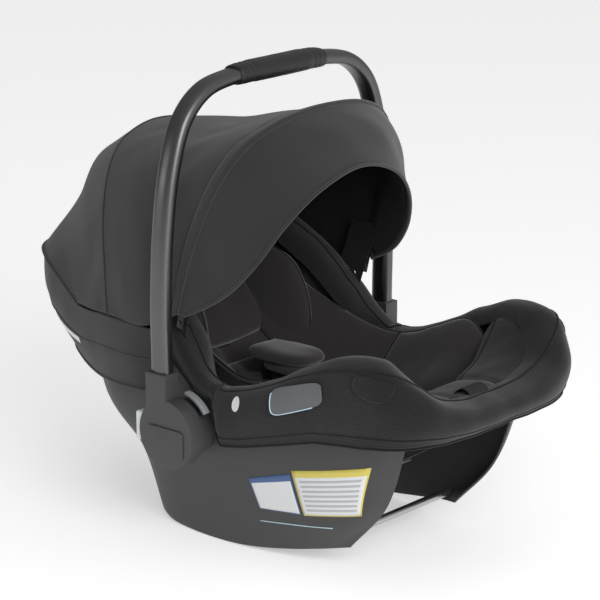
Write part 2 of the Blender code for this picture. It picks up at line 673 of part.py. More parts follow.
def make_hub(side, name):
    axis = (HUB_X, 0, HUB_Z)

    def y(*values):
        return [side * v for v in values]

    inner, outer = HUB_INNER_Y, HUB_OUTER_Y
    hub = turned(
        f"handle_hub_{name}",
        ((0.0070, y(inner)[0]), (0.0405, y(inner)[0]), (HUB_RADIUS, y(inner + 0.0015)[0]),
         (HUB_RADIUS, y(outer - 0.005)[0]), (0.037, y(outer)[0]), (0.0070, y(outer)[0])),
        "hub_plastic", axis,
    )
    socket = box(
        f"socket_{name}", (LEG_X - 0.0155, side * 0.2025 - 0.0098, 0.165),
        (LEG_X + 0.0155, side * 0.2025 + 0.0098, SOCKET_TOP_Z), "hub_plastic",
    )
    bevel(socket, 0.003)
    boolean(hub, socket, "UNION")
    well = box(
        f"socket_well_{name}", (LEG_X - 0.0142, side * 0.2025 - 0.0092, 0.1985),
        (LEG_X + 0.0142, side * 0.2025 + 0.0092, 0.24), "hub_plastic",
    )
    boolean(hub, well)
    button_low = (-0.0740, side * BUTTON_Y - 0.0070, BUTTON_Z - 0.018)
    button_high = (-0.0540, side * BUTTON_Y + 0.0070, BUTTON_Z + 0.018)
    pocket = box(
        f"button_pocket_{name}", (-0.0900, button_low[1] - GAP, button_low[2] - GAP),
        (-0.0540 + BUTTON_TRAVEL + 0.004, button_high[1] + GAP, button_high[2] + GAP), "hub_plastic",
    )
    boolean(hub, pocket)
    button = box(f"handle_button_{name}", button_low, button_high, "button_white")
    bevel(button, 0.003)
    turns = np.linspace(0, 2 * math.pi * SPRING_TURNS, 30)
    coil = [
        (
            SPRING_X + SPRING_LENGTH * turn / turns[-1],
            side * BUTTON_Y + SPRING_RADIUS * math.cos(turn),
            BUTTON_Z + SPRING_RADIUS * math.sin(turn),
        )
        for turn in turns
    ]
    sweep(f"button_spring_{name}", coil, superellipse(0.0005, 0.0005, 2, 5), "steel", up=(1, 0, 0.2))
    pad = box(
        f"hub_pad_{name}", (HUB_X - 0.026, side * (outer + 0.0013) - 0.001, HUB_Z - 0.030),
        (HUB_X + 0.026, side * (outer + 0.0013) + 0.001, HUB_Z + 0.002), "badge_plastic",
    )
    bevel(pad, 0.0008, 1)
    turned(
        f"hub_base_{name}",
        ((0.0066, y(0.1675)[0]), (0.034, y(0.1675)[0]), (0.034, y(0.1915)[0]), (0.0066, y(0.1915)[0])),
        "hub_plastic", axis, 28,
    )
    turned(
        f"pivot_pin_{name}",
        ((0, y(0.1560)[0]), (0.011, y(0.1560)[0]), (0.011, y(0.1590)[0]), (0.0060, y(0.1595)[0]),
         (0.0060, y(0.2150)[0]), (0, y(0.2150)[0])),
        "steel", axis, 16,
    )
    turned(
        f"socket_rivet_{name}",
        ((0, y(0.1895)[0]), (0.0035, y(0.1900)[0]), (0.0048, y(0.1913)[0]), (0.0048, y(0.1922)[0]),
         (0, y(0.1922)[0])),
        "steel", (LEG_X, 0, 0.212), 12,
    )
    guide_path = [
        (HUB_X + 0.0475 * math.sin(a), side * 0.1850, HUB_Z + 0.0475 * math.cos(a))
        for a in np.radians(np.linspace(10, 55, 8))
    ]
    sweep(
        f"belt_guide_{name}", guide_path, superellipse(0.0050, 0.0022, 4, 8), "button_grey",
        up_from=(HUB_X, side * 0.1850, HUB_Z),
    )


# The harness, with its buckle and adjuster

def placed_box(name, frame, low, high, slot, rounding=0.0, segments=2):
    """A box between two corners given in a frame on the seat."""
    turn = frame.to_3x3().to_4x4()
    low, high = Vector(low), Vector(high)
    middle = frame @ ((low + high) / 2)
    half = (high - low) / 2
    made = box(name, middle - half, middle + half, slot, turn=turn)
    return bevel(made, rounding, segments) if rounding else made


def on_seat(name, frame, half_x, half_y, heights, slot, rounding, segments=2):
    """A box centred over a frame on the seat, between two heights off it."""
    low, high = (-half_x, -half_y, heights[0]), (half_x, half_y, heights[1])
    return placed_box(name, frame, low, high, slot, rounding, segments)


def make_harness():
    pad_path = spline([(x, 0, z) for x, z in CROTCH_PAD], 10)
    sweep("crotch_pad", pad_path, superellipse(*CROTCH_PAD_HALF, 4, 12), "liner_fabric")
    buckle = Matrix.Translation(BUCKLE_PLACE)
    on_seat("buckle_body", buckle, 0.025, 0.021, (0.000, 0.016), "black_plastic", 0.004)
    on_seat("buckle_button", buckle, 0.011, 0.013, (0.0190, 0.0230), "buckle_red", 0.001, 1)
    strap = superellipse(WEBBING_HALF[0], WEBBING_HALF[1], 8, 8)
    line = seat_layer(SEAT_TOP + STRAP_CLEARANCE)
    for side, name in SIDES:
        path = [line[station, MIDDLE + side] * (1, 0.92, 1) for station in (13, 12, 11)]
        path.append((-0.056, side * 0.030, 0.180))
        sweep(f"shoulder_strap_{name}", spline(path, 10), strap, "webbing", up=(0.6, 0, 1))
    base = seat_frame(ADJUSTER_STATION, PAD_TOP)
    on_seat("adjuster_housing", base, 0.020, 0.017, (0.0030, 0.0100), "black_plastic", 0.002)
    on_seat("adjuster_button", base, 0.016, 0.012, (0.0135, 0.0165), "button_grey", 0.001, 1)
    for name, points in STRAPS.items():
        sweep(name, spline([(x, 0, z) for x, z in points], 10), strap, "webbing", up=(0.3, 0, 1))
    turn = Matrix.Rotation(math.radians(-28), 4, "Y")
    box("splitter_plate", (0.128, -0.024, 0.0925), (0.158, 0.024, 0.0945), "steel", turn=turn)


PARTS = None
CUTTERS = None


def main():
    global PARTS, CUTTERS
    clear_scene()
    PARTS = new_collection("infant_car_seat")
    CUTTERS = new_collection("cutters")
    make_shell()
    make_bucket()
    make_cover()
    make_canopy()
    make_handle()
    make_harness()


main()
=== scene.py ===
"""The looks of the infant car seat: fabric, padding, moulded plastic, light and camera."""

import json
import math

import bmesh
import bpy
import numpy as np
from mathutils import Matrix, Vector
from mathutils.bvhtree import BVHTree


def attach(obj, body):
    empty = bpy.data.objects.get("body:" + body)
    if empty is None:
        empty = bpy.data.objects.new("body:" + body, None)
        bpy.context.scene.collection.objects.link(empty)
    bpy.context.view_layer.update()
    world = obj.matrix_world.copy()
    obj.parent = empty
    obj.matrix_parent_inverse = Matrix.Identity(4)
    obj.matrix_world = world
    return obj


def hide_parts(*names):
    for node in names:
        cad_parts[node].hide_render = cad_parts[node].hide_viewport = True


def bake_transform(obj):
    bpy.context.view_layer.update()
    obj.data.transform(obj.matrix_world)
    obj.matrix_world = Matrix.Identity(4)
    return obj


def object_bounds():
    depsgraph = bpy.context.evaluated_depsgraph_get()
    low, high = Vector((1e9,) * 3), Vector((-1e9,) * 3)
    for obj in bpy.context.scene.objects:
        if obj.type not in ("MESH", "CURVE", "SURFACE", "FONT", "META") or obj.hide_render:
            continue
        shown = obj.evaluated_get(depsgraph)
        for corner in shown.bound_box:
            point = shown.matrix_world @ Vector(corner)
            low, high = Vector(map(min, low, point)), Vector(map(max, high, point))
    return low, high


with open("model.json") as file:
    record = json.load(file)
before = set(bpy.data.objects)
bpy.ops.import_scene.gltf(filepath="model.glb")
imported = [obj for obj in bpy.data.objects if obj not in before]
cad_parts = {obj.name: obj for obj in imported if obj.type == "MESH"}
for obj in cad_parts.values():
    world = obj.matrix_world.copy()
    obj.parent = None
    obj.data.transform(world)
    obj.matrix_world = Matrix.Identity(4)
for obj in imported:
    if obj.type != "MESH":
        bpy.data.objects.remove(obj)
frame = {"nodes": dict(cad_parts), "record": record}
CAD_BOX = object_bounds()

# Dimensions shared with the CAD part, in metres
HUB_X, HUB_Z = -0.0225, 0.153
LEG_X = -0.0375
HUB_RADIUS = 0.042
SOCKET_TOP_Z = 0.225
HUB_INNER_Y, HUB_OUTER_Y = 0.1925, 0.2165
TUBE_HALF = (0.0135, 0.0090)
SHELL_WALL = 0.0030
SIDES = ((1, "left"), (-1, "right"))

# Colours as the photograph shows them, in linear light
SHELL_GREY = (0.038, 0.038, 0.038)
HUB_GREY = (0.047, 0.047, 0.049)
BLACK = (0.010, 0.010, 0.011)
CANOPY_CHARCOAL = (0.0215, 0.0198, 0.0200)
CANOPY_LINING = (0.0045, 0.0045, 0.0045)
KNIT_BLACK = (0.0100, 0.0100, 0.0108)
LINER_BROWN = (0.0350, 0.0305, 0.0305)
LEATHER_BLACK = (0.012, 0.011, 0.011)
TUBE_GREY = (0.13, 0.13, 0.134)
FLOOR_WHITE = (0.90, 0.90, 0.90)


# Node materials

class Shader:
    """A Principled material and short ways to add nodes to it."""

    def __init__(self, name, colour, roughness, metallic=0.0):
        self.material = bpy.data.materials.new(name)
        self.material.use_nodes = True
        self.tree = self.material.node_tree
        self.shader = self.tree.nodes["Principled BSDF"]
        self.set("Base Color", (*colour, 1.0))
        self.set("Roughness", roughness)
        self.set("Metallic", metallic)
        self.material.diffuse_color = (*colour, 1.0)
        self.height = None

    def set(self, socket, value):
        if isinstance(value, bpy.types.NodeSocket):
            self.tree.links.new(value, self.shader.inputs[socket])
        else:
            self.shader.inputs[socket].default_value = value

    def node(self, kind, output=0, properties=None, **inputs):
        """Adds a node, with its inputs by name or, as i0, i1 and so on, by number."""
        made = self.tree.nodes.new(kind)
        for key, value in (properties or {}).items():
            setattr(made, key, value)
        for key, value in inputs.items():
            by_number = key[0] == "i" and key[1:].isdigit()
            socket = made.inputs[int(key[1:]) if by_number else key]
            if isinstance(value, bpy.types.NodeSocket):
                self.tree.links.new(value, socket)
            else:
                socket.default_value = value
        return made.outputs[output]

    def math(self, operation, a, b=0.0):
        return self.node("ShaderNodeMath", properties={"operation": operation}, i0=a, i1=b)

    def place(self):
        """Position on the object, in metres."""
        return self.node("ShaderNodeTexCoord", "Object")

    def along(self):
        """The position on a fabric in metres of cloth, and its parts across and along the cloth."""
        uv = self.node("ShaderNodeUVMap", properties={"uv_map": "cloth"})
        split = self.tree.nodes.new("ShaderNodeSeparateXYZ")
        self.tree.links.new(uv, split.inputs[0])
        return uv, split.outputs[0], split.outputs[1]

    def noise(self, at, scale, detail=2.0):
        return self.node("ShaderNodeTexNoise", Vector=at, Scale=scale, Detail=detail)

    def wave(self, position, period):
        """Runs smoothly between 0 and 1 once every period."""
        turned = self.math("MULTIPLY", position, 2 * math.pi / period)
        return self.math("MULTIPLY_ADD", self.math("SINE", turned), 0.5)

    def mix(self, factor, a, b):
        return self.node(
            "ShaderNodeMix", 2, {"data_type": "RGBA"}, Factor=factor, i6=(*a, 1.0), i7=(*b, 1.0)
        )

    def spread(self, value, low, high):
        """A 0 to 1 value carried over to low to high."""
        return self.node("ShaderNodeMapRange", Value=value, i3=low, i4=high)

    def soften(self, fuzz, spread, shine):
        """The soft edge light of a cloth with loose fibres."""
        self.set("Sheen Weight", fuzz)
        self.set("Sheen Roughness", spread)
        self.set("Specular IOR Level", shine)

    def bump(self, height, depth, strength=1.0):
        """Adds relief of that depth in metres to what the material has already."""
        before = {} if self.height is None else {"Normal": self.height}
        self.height = self.node("ShaderNodeBump", Height=height, Distance=depth, Strength=strength, **before)
        self.set("Normal", self.height)


def tinted(colour, factor):
    return tuple(c * factor for c in colour)


def moulded(name, colour, roughness, grain=0.00005, grain_scale=1600):
    """Moulded plastic with a fine grain and uneven sheen."""
    made = Shader(name, colour, roughness)
    at = made.place()
    broad = made.noise(at, 9)
    made.set("Base Color", made.mix(broad, tinted(colour, 0.92), tinted(colour, 1.08)))
    made.set("Roughness", made.spread(made.noise(at, 55, 4), roughness - 0.06, roughness + 0.06))
    made.bump(made.noise(at, grain_scale, 3), grain)
    return made.material


def metal(name, colour, roughness, streak=(900, 60, 900)):
    """Drawn or brushed metal, with streaks along one axis."""
    made = Shader(name, colour, roughness, 1.0)
    at = made.node("ShaderNodeMapping", Vector=made.place(), Scale=streak)
    streaks = made.noise(at, 1, 3)
    made.set("Roughness", made.spread(streaks, roughness - 0.08, roughness + 0.10))
    made.bump(streaks, 0.00002)
    return made.material


def anodised(name, colour, roughness):
    made = Shader(name, colour, roughness, 1.0)
    at = made.place()
    made.set("Base Color", made.mix(made.noise(at, 14), tinted(colour, 0.93), tinted(colour, 1.07)))
    made.set("Roughness", made.spread(made.noise(at, 700, 2), roughness - 0.04, roughness + 0.05))
    made.bump(made.noise(at, 2600, 2), 0.00002)
    return made.material


def woven(name, colour, thread, relief, roughness=0.92, fuzz=0.25):
    """A plain weave of that thread width, with slubs and uneven dye."""
    made = Shader(name, colour, roughness)
    uv, across, along = made.along()
    warp = made.wave(across, thread * 2)
    weft = made.wave(along, thread * 2)
    under = made.wave(made.math("ADD", across, thread), thread * 2)
    weave = made.math("ADD", made.math("MULTIPLY", warp, weft), made.math("MULTIPLY", under, 0.25))
    slub = made.noise(made.node("ShaderNodeMapping", Vector=uv, Scale=(260, 1500, 1)), 1, 2)
    shade = made.math("ADD", made.math("MULTIPLY", weave, 0.45), made.math("MULTIPLY", slub, 0.55))
    made.set("Base Color", made.mix(shade, tinted(colour, 0.68), tinted(colour, 1.32)))
    made.soften(fuzz, 0.6, 0.15)
    made.bump(made.noise(made.place(), 38, 3), 0.0008, 0.35)
    made.bump(weave, relief)
    return made.material


def knitted(name, colour, course, relief, fuzz=0.2):
    """A ribbed mesh knit: rows of small eyelets between raised courses."""
    made = Shader(name, colour, 0.9)
    _, across, along = made.along()
    rows = made.wave(along, course)
    stagger = made.math("MULTIPLY", made.wave(along, course * 2), course * 0.5)
    loops = made.wave(made.math("ADD", across, stagger), course * 0.8)
    relief_map = made.math("MULTIPLY_ADD", loops, 0.45)
    height = made.math("MULTIPLY", rows, relief_map)
    made.set("Base Color", made.mix(height, tinted(colour, 0.62), tinted(colour, 1.38)))
    made.soften(fuzz, 0.55, 0.2)
    made.bump(made.noise(made.place(), 30, 2), 0.0008, 0.3)
    made.bump(height, relief)
    return made.material


def jersey(name, colour, fuzz=0.35):
    """A soft brushed jersey with faint wales."""
    made = Shader(name, colour, 0.95)
    uv, across, along = made.along()
    wale = made.math("MULTIPLY", made.wave(across, 0.0011), made.wave(along, 0.0009))
    fleck = made.noise(uv, 900, 3)
    tone = made.math("ADD", made.math("MULTIPLY", wale, 0.3), made.math("MULTIPLY", fleck, 0.7))
    made.set("Base Color", made.mix(tone, tinted(colour, 0.72), tinted(colour, 1.28)))
    made.soften(fuzz, 0.5, 0.12)
    made.bump(made.noise(made.place(), 26, 3), 0.0012, 0.4)
    made.bump(tone, 0.00016)
    return made.material


def belt(name, colour):
    """Polyester webbing: ribs across it and a herringbone down its length."""
    made = Shader(name, colour, 0.7)
    _, across, along = made.along()
    ribs = made.wave(along, 0.0012)
    cords = made.wave(across, 0.0022)
    height = made.math("ADD", made.math("MULTIPLY", ribs, 0.6), made.math("MULTIPLY", cords, 0.4))
    made.set("Base Color", made.mix(height, tinted(colour, 0.6), tinted(colour, 1.5)))
    made.bump(height, 0.0002)
    return made.material


def hide(name, colour):
    """Soft grained leather."""
    made = Shader(name, colour, 0.42)
    at = made.place()
    cells = made.node("ShaderNodeTexVoronoi", "Distance", Vector=at, Scale=620)
    made.set("Base Color", made.mix(made.noise(at, 60, 3), tinted(colour, 0.8), tinted(colour, 1.25)))
    made.set("Roughness", made.spread(made.noise(at, 90, 3), 0.34, 0.52))
    made.bump(made.noise(at, 45, 3), 0.0008, 0.5)
    made.bump(cells, 0.00018)
    return made.material


def sticker(name, header, header_share, ruled=True):
    """A printed panel with a coloured head and border, and plain grey bars in place of print."""
    made = Shader(name, (0.72, 0.72, 0.71), 0.35)
    uv = made.node("ShaderNodeUVMap", properties={"uv_map": "panel"})
    split = made.tree.nodes.new("ShaderNodeSeparateXYZ")
    made.tree.links.new(uv, split.inputs[0])
    across, up = split.outputs[0], split.outputs[1]
    off_centre, off_middle = (
        made.math("ABSOLUTE", made.math("SUBTRACT", place, 0.5)) for place in (across, up)
    )
    head = made.math("GREATER_THAN", up, 1 - header_share)
    border = made.math("GREATER_THAN", made.math("MAXIMUM", off_centre, off_middle), 0.475)
    colour = made.mix(made.math("MAXIMUM", head, border), (0.66, 0.67, 0.68), header)
    if ruled:
        ink = made.math("GREATER_THAN", made.wave(up, 0.105), 0.52)
        for limit in (
            made.math("LESS_THAN", off_centre, 0.42),
            made.math("LESS_THAN", up, 0.94 - header_share),
            made.math("GREATER_THAN", up, 0.08),
        ):
            ink = made.math("MULTIPLY", ink, limit)
        ink = made.math("MULTIPLY", ink, 0.45)
        colour = made.node(
            "ShaderNodeMix", 2, {"data_type": "RGBA"}, Factor=ink, i6=colour, i7=(0.10, 0.10, 0.11, 1.0)
        )
    made.set("Base Color", colour)
    made.bump(made.noise(made.place(), 300, 2), 0.00003)
    return made.material


MATERIALS = {
    "shell_plastic": moulded("moulded shell", SHELL_GREY, 0.55, 0.00007, 1300),
    "hub_plastic": moulded("moulded hub", HUB_GREY, 0.45, 0.00004),
    "black_plastic": moulded("black plastic", BLACK, 0.45),
    "button_grey": moulded("grey button", (0.23, 0.245, 0.255), 0.38, 0.00002),
    "button_white": moulded("white button", (0.72, 0.75, 0.78), 0.35, 0.00002),
    "anodised_tube": anodised("anodised tube", TUBE_GREY, 0.34),
    "grip_leather": hide("grip leather", LEATHER_BLACK),
    "canopy_fabric": woven("canopy weave", CANOPY_CHARCOAL, 0.00045, 0.00012),
    "knit_fabric": knitted("ribbed knit", KNIT_BLACK, 0.0019, 0.00028),
    "liner_fabric": jersey("liner jersey", LINER_BROWN),
    "foam": moulded("foam", (0.10, 0.10, 0.10), 0.9, 0.0004, 500),
    "webbing": belt("webbing", (0.010, 0.010, 0.011)),
    "steel": metal("zinc steel", (0.50, 0.50, 0.51), 0.3),
    "buckle_red": moulded("red button", (0.35, 0.015, 0.015), 0.35),
    "badge_plastic": moulded("badge plastic", (0.100, 0.107, 0.115), 0.42, 0.00003),
}
LINING = woven("canopy lining", CANOPY_LINING, 0.0005, 0.0001, fuzz=0.1)
PIPING = woven("piping", tinted(KNIT_BLACK, 0.55), 0.0005, 0.0002, fuzz=0.1)
ICE_BLUE = moulded("ice blue line", (0.50, 0.66, 0.74), 0.35, 0.00001)
WHITE_PATCH = moulded("white patch", (0.72, 0.72, 0.72), 0.5, 0.00002)
BLUE_STICKER = sticker("blue headed panel", (0.045, 0.10, 0.25), 0.17, ruled=False)
YELLOW_STICKER = sticker("yellow headed panel", (0.62, 0.52, 0.10), 0.15)
PLAIN_STICKER = sticker("grey headed panel", (0.10, 0.10, 0.10), 0.0, ruled=False)


# Curves and surfaces

def spline(points, count):
    """Points spaced evenly along a smooth curve through the given points."""
    knots = np.array(points, float)
    step = np.linalg.norm(np.diff(knots, axis=0), axis=1)
    at = np.concatenate([[0], np.cumsum(np.sqrt(step))])
    slope = np.gradient(knots, at, axis=0)
    fine = []
    for i in range(len(knots) - 1):
        width = at[i + 1] - at[i]
        for t in np.linspace(0, 1, 24, endpoint=i == len(knots) - 2):
            fine.append(
                (2 * t**3 - 3 * t**2 + 1) * knots[i]
                + (t**3 - 2 * t**2 + t) * width * slope[i]
                + (3 * t**2 - 2 * t**3) * knots[i + 1]
                + (t**3 - t**2) * width * slope[i + 1]
            )
    fine = np.array(fine)
    run = np.concatenate([[0], np.cumsum(np.linalg.norm(np.diff(fine, axis=0), axis=1))])
    wanted = np.linspace(0, run[-1], count)
    return np.stack([np.interp(wanted, run, fine[:, k]) for k in range(fine.shape[1])], -1)


def in_metres(places):
    """A table of places in millimetres, of any depth, carried over to metres."""
    if isinstance(places, tuple):
        return tuple(in_metres(place) for place in places)
    return places / 1000


def loft(rails, stations, rows):
    """A grid of points between rails, each a list of points that runs the same way."""
    along = np.stack([spline(rail, stations) for rail in rails], 1)
    return np.stack([spline(column, rows) for column in along])


def arch(rail, stations):
    """Half of a smooth arch, from its foot to the middle plane, that runs level through the middle."""
    whole = np.concatenate([rail, [(x, -y, z) for x, y, z in rail[-2::-1]]])
    return spline(whole, 2 * stations - 1)[:stations]


def arched_loft(rails, stations, rows):
    """Like loft, for rails that meet the middle plane level."""
    along = np.stack([arch(rail, stations) for rail in rails], 1)
    return np.stack([spline(column, rows) for column in along])


def both_sides(half):
    """A grid whose last column lies on the middle plane, carried over to the other side."""
    other = half[-2::-1].copy()
    other[..., 1] *= -1
    return np.concatenate([half, other])


def normals(grid):
    found = np.cross(np.gradient(grid, axis=0), np.gradient(grid, axis=1))
    return found / np.maximum(np.linalg.norm(found, axis=-1, keepdims=True), 1e-12)


def outward(grid):
    """Normals that point away from the grid's own middle."""
    found = normals(grid)
    return -found if (found * (grid - grid.mean((0, 1)))).sum() < 0 else found


def facing_out(grid, out=None):
    """The grid with its rows turned round if it faces away from out, by default its own middle."""
    away = grid - grid.mean((0, 1)) if out is None else np.array(out, float)
    return grid[:, ::-1] if (normals(grid) * away).sum() < 0 else grid


def add_object(name, mesh, slot, body="carrier", paint=None):
    """An object on a body, or on none, in its slot's material or in paint."""
    made = bpy.data.objects.new(name, mesh)
    mesh.materials.append(paint or MATERIALS[slot])
    mesh.shade_smooth()
    bpy.context.scene.collection.objects.link(made)
    if body:
        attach(made, body)
    return made


def grid_mesh(grid, name, closed_u=False, closed_v=False, unit_uv=False):
    """A mesh over a grid, with its fabric coordinates in metres of cloth."""
    count_u, count_v = grid.shape[:2]
    loop_u = np.concatenate([grid, grid[:1]]) if closed_u else grid
    full = np.concatenate([loop_u, loop_u[:, :1]], 1) if closed_v else loop_u
    run_u = np.linalg.norm(np.diff(full, axis=0), axis=-1).mean(1)
    run_v = np.linalg.norm(np.diff(full, axis=1), axis=-1).mean(0)
    u = np.concatenate([[0], np.cumsum(run_u)])
    v = np.concatenate([[0], np.cumsum(run_v)])
    if unit_uv:
        u, v = u / u[-1], v / v[-1]
    shape = bmesh.new()
    layer = shape.loops.layers.uv.new("panel" if unit_uv else "cloth")
    points = [[shape.verts.new(p) for p in row] for row in grid]
    for i in range(count_u if closed_u else count_u - 1):
        for j in range(count_v if closed_v else count_v - 1):
            at = ((i, j), (i + 1, j), (i + 1, j + 1), (i, j + 1))
            face = shape.faces.new([points[a % count_u][b % count_v] for a, b in at])
            for corner, (a, b) in zip(face.loops, at):
                corner[layer].uv = (u[a], v[b])
    if closed_v and not closed_u:
        shape.faces.new(list(reversed(points[0])))
        shape.faces.new(points[-1])
    if closed_v:
        bmesh.ops.recalc_face_normals(shape, faces=shape.faces)
    mesh = bpy.data.meshes.new(name)
    shape.to_mesh(mesh)
    shape.free()
    return mesh


def apply_modifiers(obj):
    """Fixes the modifiers into the mesh, so that the piece is final."""
    shown = obj.evaluated_get(bpy.context.evaluated_depsgraph_get())
    final = bpy.data.meshes.new_from_object(shown)
    obj.modifiers.clear()
    obj.data = final
    return obj


def thicken(made, thickness):
    thick = made.modifiers.new("Thickness", "SOLIDIFY")
    thick.thickness = thickness
    return thick


def skin(
    name, grid, thickness, slot, body="carrier", paint=None, closed_u=False, out=None, away=False, rim=0.0
):
    """A sheet of even thickness with rounded edges."""
    made = add_object(name, grid_mesh(facing_out(grid, out), name, closed_u), slot, body, paint)
    thick = thicken(made, thickness)
    thick.offset = 1 if away else -1
    thick.use_quality_normals = True
    if rim:
        edge = made.modifiers.new("Rounded edges", "BEVEL")
        edge.width = rim
        edge.segments = 3
        edge.limit_method = "ANGLE"
        edge.angle_limit = math.radians(60)
    return apply_modifiers(made)


def sections(path, outline, up=(0, 0, 1), swap=False, scale=None):
    """A grid with an outline of (across, up) offsets at each point of a path."""
    path = np.array(path, float)
    ahead = np.gradient(path, axis=0)
    ahead /= np.linalg.norm(ahead, axis=1, keepdims=True)
    over = np.tile(np.array(up, float), (len(path), 1))
    over = over - (over * ahead).sum(1, keepdims=True) * ahead
    over /= np.linalg.norm(over, axis=1, keepdims=True)
    across = np.cross(ahead, over)
    outline = np.array(outline, float)
    if swap:
        outline = outline[:, ::-1]
    size = np.ones(len(path)) if scale is None else np.array(scale, float)
    return (
        path[:, None]
        + across[:, None] * outline[None, :, :1] * size[:, None, None]
        + over[:, None] * outline[None, :, 1:] * size[:, None, None]
    )


def sweep(name, path, outline, slot, body="carrier", **turn):
    grid = sections(path, outline, **turn)
    return add_object(name, grid_mesh(grid, name, closed_v=True), slot, body)


def superellipse(half_width, half_height, power=2.0, count=24):
    """An oval outline, more square for a larger power."""
    outline = []
    for turn in np.linspace(0, 2 * math.pi, count, endpoint=False) + math.pi / count:
        c, s = math.cos(turn), math.sin(turn)
        x = half_width * math.copysign(abs(c) ** (2 / power), c)
        y = half_height * math.copysign(abs(s) ** (2 / power), s)
        outline.append((x, y))
    return outline


def cord(name, path, radius, slot, body="carrier", paint=None, closed=False, sides=8):
    """A thin round bead along a path, such as piping or a seam."""
    path = np.array(path, float)
    if closed:
        ahead = np.roll(path, -1, 0) - np.roll(path, 1, 0)
    else:
        ahead = np.gradient(path, axis=0)
    ahead /= np.linalg.norm(ahead, axis=1, keepdims=True)
    over = np.tile((0.31, 0.17, 0.93), (len(path), 1))
    over = over - (over * ahead).sum(1, keepdims=True) * ahead
    over /= np.linalg.norm(over, axis=1, keepdims=True)
    across = np.cross(ahead, over)
    turns = np.linspace(0, 2 * math.pi, sides, endpoint=False)
    grid = path[:, None] + radius * (
        across[:, None] * np.cos(turns)[None, :, None] + over[:, None] * np.sin(turns)[None, :, None]
    )
    return add_object(name, grid_mesh(grid, name, closed, True), slot, body, paint)


def piping(name, path, radius, slot="knit_fabric", closed=False):
    return cord(name, path, radius, slot, paint=PIPING, closed=closed)


def ripple(grid, amount, scale, seed=0.0):
    """Even, smooth unevenness from -amount to amount at each point of a grid."""
    x, y, z = (grid[..., k] * scale for k in range(3))
    wave = np.sin(x * 1.7 + 1.3 * np.sin(z * 1.1 + seed) + seed)
    wave *= np.cos(z * 2.1 + 1.7 * np.sin(y * 0.9 + seed))
    wave += 0.5 * np.sin(y * 3.1 + 2.0 * np.sin(x * 1.9 + seed) + z * 1.3)
    return amount * wave / 1.5


# The canopy and the boot behind it. Each arch runs from its foot on the left to the middle.

VISOR_EDGE = in_metres((
    (-30, 172, 288), (0, 168, 303), (26, 157, 322), (55, 140, 358), (75, 115, 400), (90, 70, 438),
    (95, 0, 457),
))
VISOR_MIDDLE = in_metres((
    (-34, 175, 288), (-20, 174, 330), (3, 168, 380), (25, 155, 425), (48, 125, 465), (65, 75, 489),
    (72, 0, 498),
))
RIDGE = in_metres((
    (-38, 176, 288), (-27, 177, 330), (-10, 172, 390), (8, 158, 445), (25, 128, 490), (37, 75, 515),
    (42, 0, 524),
))
VALLEY = in_metres((
    (-95, 177, 264), (-96, 177, 320), (-96, 170, 380), (-95, 150, 435), (-93, 115, 468), (-92, 60, 483),
    (-91, 0, 487),
))
REAR_ARCH = in_metres((
    (-160, 170, 264), (-165, 168, 320), (-177, 157, 375), (-195, 130, 425), (-215, 90, 452),
    (-229, 45, 464), (-235, 0, 468),
))
REAR_DOME = in_metres((
    (-185, 166, 264), (-200, 158, 325), (-232, 132, 385), (-266, 80, 425), (-282, 0, 438),
))
REAR_CREASE = in_metres((
    (-205, 162, 264), (-225, 152, 308), (-255, 130, 350), (-288, 82, 386), (-302, 0, 402),
))
REAR_HEM = in_metres((
    (-225, 158, 264), (-262, 149, 284), (-302, 135, 303), (-335, 104, 310), (-345, 0, 313),
))
BOOT_TOP = in_metres((
    (-66, 177, 262), (-120, 175, 262), (-170, 169, 262), (-226, 157, 262), (-263, 148, 282),
    (-302, 134, 301), (-335, 103, 308), (-344, 0, 311),
))
BOOT_BAND = in_metres((
    (-66, 176, 225), (-120, 174, 225), (-170, 167, 225), (-225, 154, 225), (-264, 144, 236),
    (-302, 130, 250), (-332, 100, 256), (-340, 0, 258),
))
BOOT_HEM = in_metres((
    (-73, 172, 185), (-120, 169, 180), (-170, 159, 177), (-215, 140, 176), (-250, 125, 182),
    (-283, 105, 190), (-305, 73, 200), (-315, 0, 205),
))
CLOTH = 0.0016
LINING_GAP = 0.0034
CANOPY_SLACK, BOOT_SLACK = 0.0022, 0.0014


def folds(obj):
    """Fixes the piece's placement into its mesh."""
    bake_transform(obj)
    return obj


VISOR_ROWS, MIDDLE_ROWS, REAR_ROWS = 26, 44, 40
RIDGE_ROW = VISOR_ROWS - 1
REAR_ARCH_ROW = RIDGE_ROW + MIDDLE_ROWS - 1
LAST_ROW = REAR_ARCH_ROW + REAR_ROWS - 1
# Name, row and radius of each seam and binding on the canopy.
CANOPY_SEAMS = (
    ("visor_binding", 0, 0.0022), ("ridge_seam_front", RIDGE_ROW - 1, 0.0011),
    ("ridge_seam_back", RIDGE_ROW + 3, 0.0011), ("rear_arch_seam", REAR_ARCH_ROW, 0.0010),
    ("rear_flap_binding", LAST_ROW, 0.0018),
)


def canopy_grid():
    """The canopy's panels as one grid."""
    panels = (
        arched_loft((VISOR_EDGE, VISOR_MIDDLE, RIDGE), 90, VISOR_ROWS),
        arched_loft((RIDGE, VALLEY, REAR_ARCH), 90, MIDDLE_ROWS),
        arched_loft((REAR_ARCH, REAR_DOME, REAR_CREASE, REAR_HEM), 90, REAR_ROWS),
    )
    return both_sides(np.concatenate([panels[0], panels[1][:, 1:], panels[2][:, 1:]], 1))


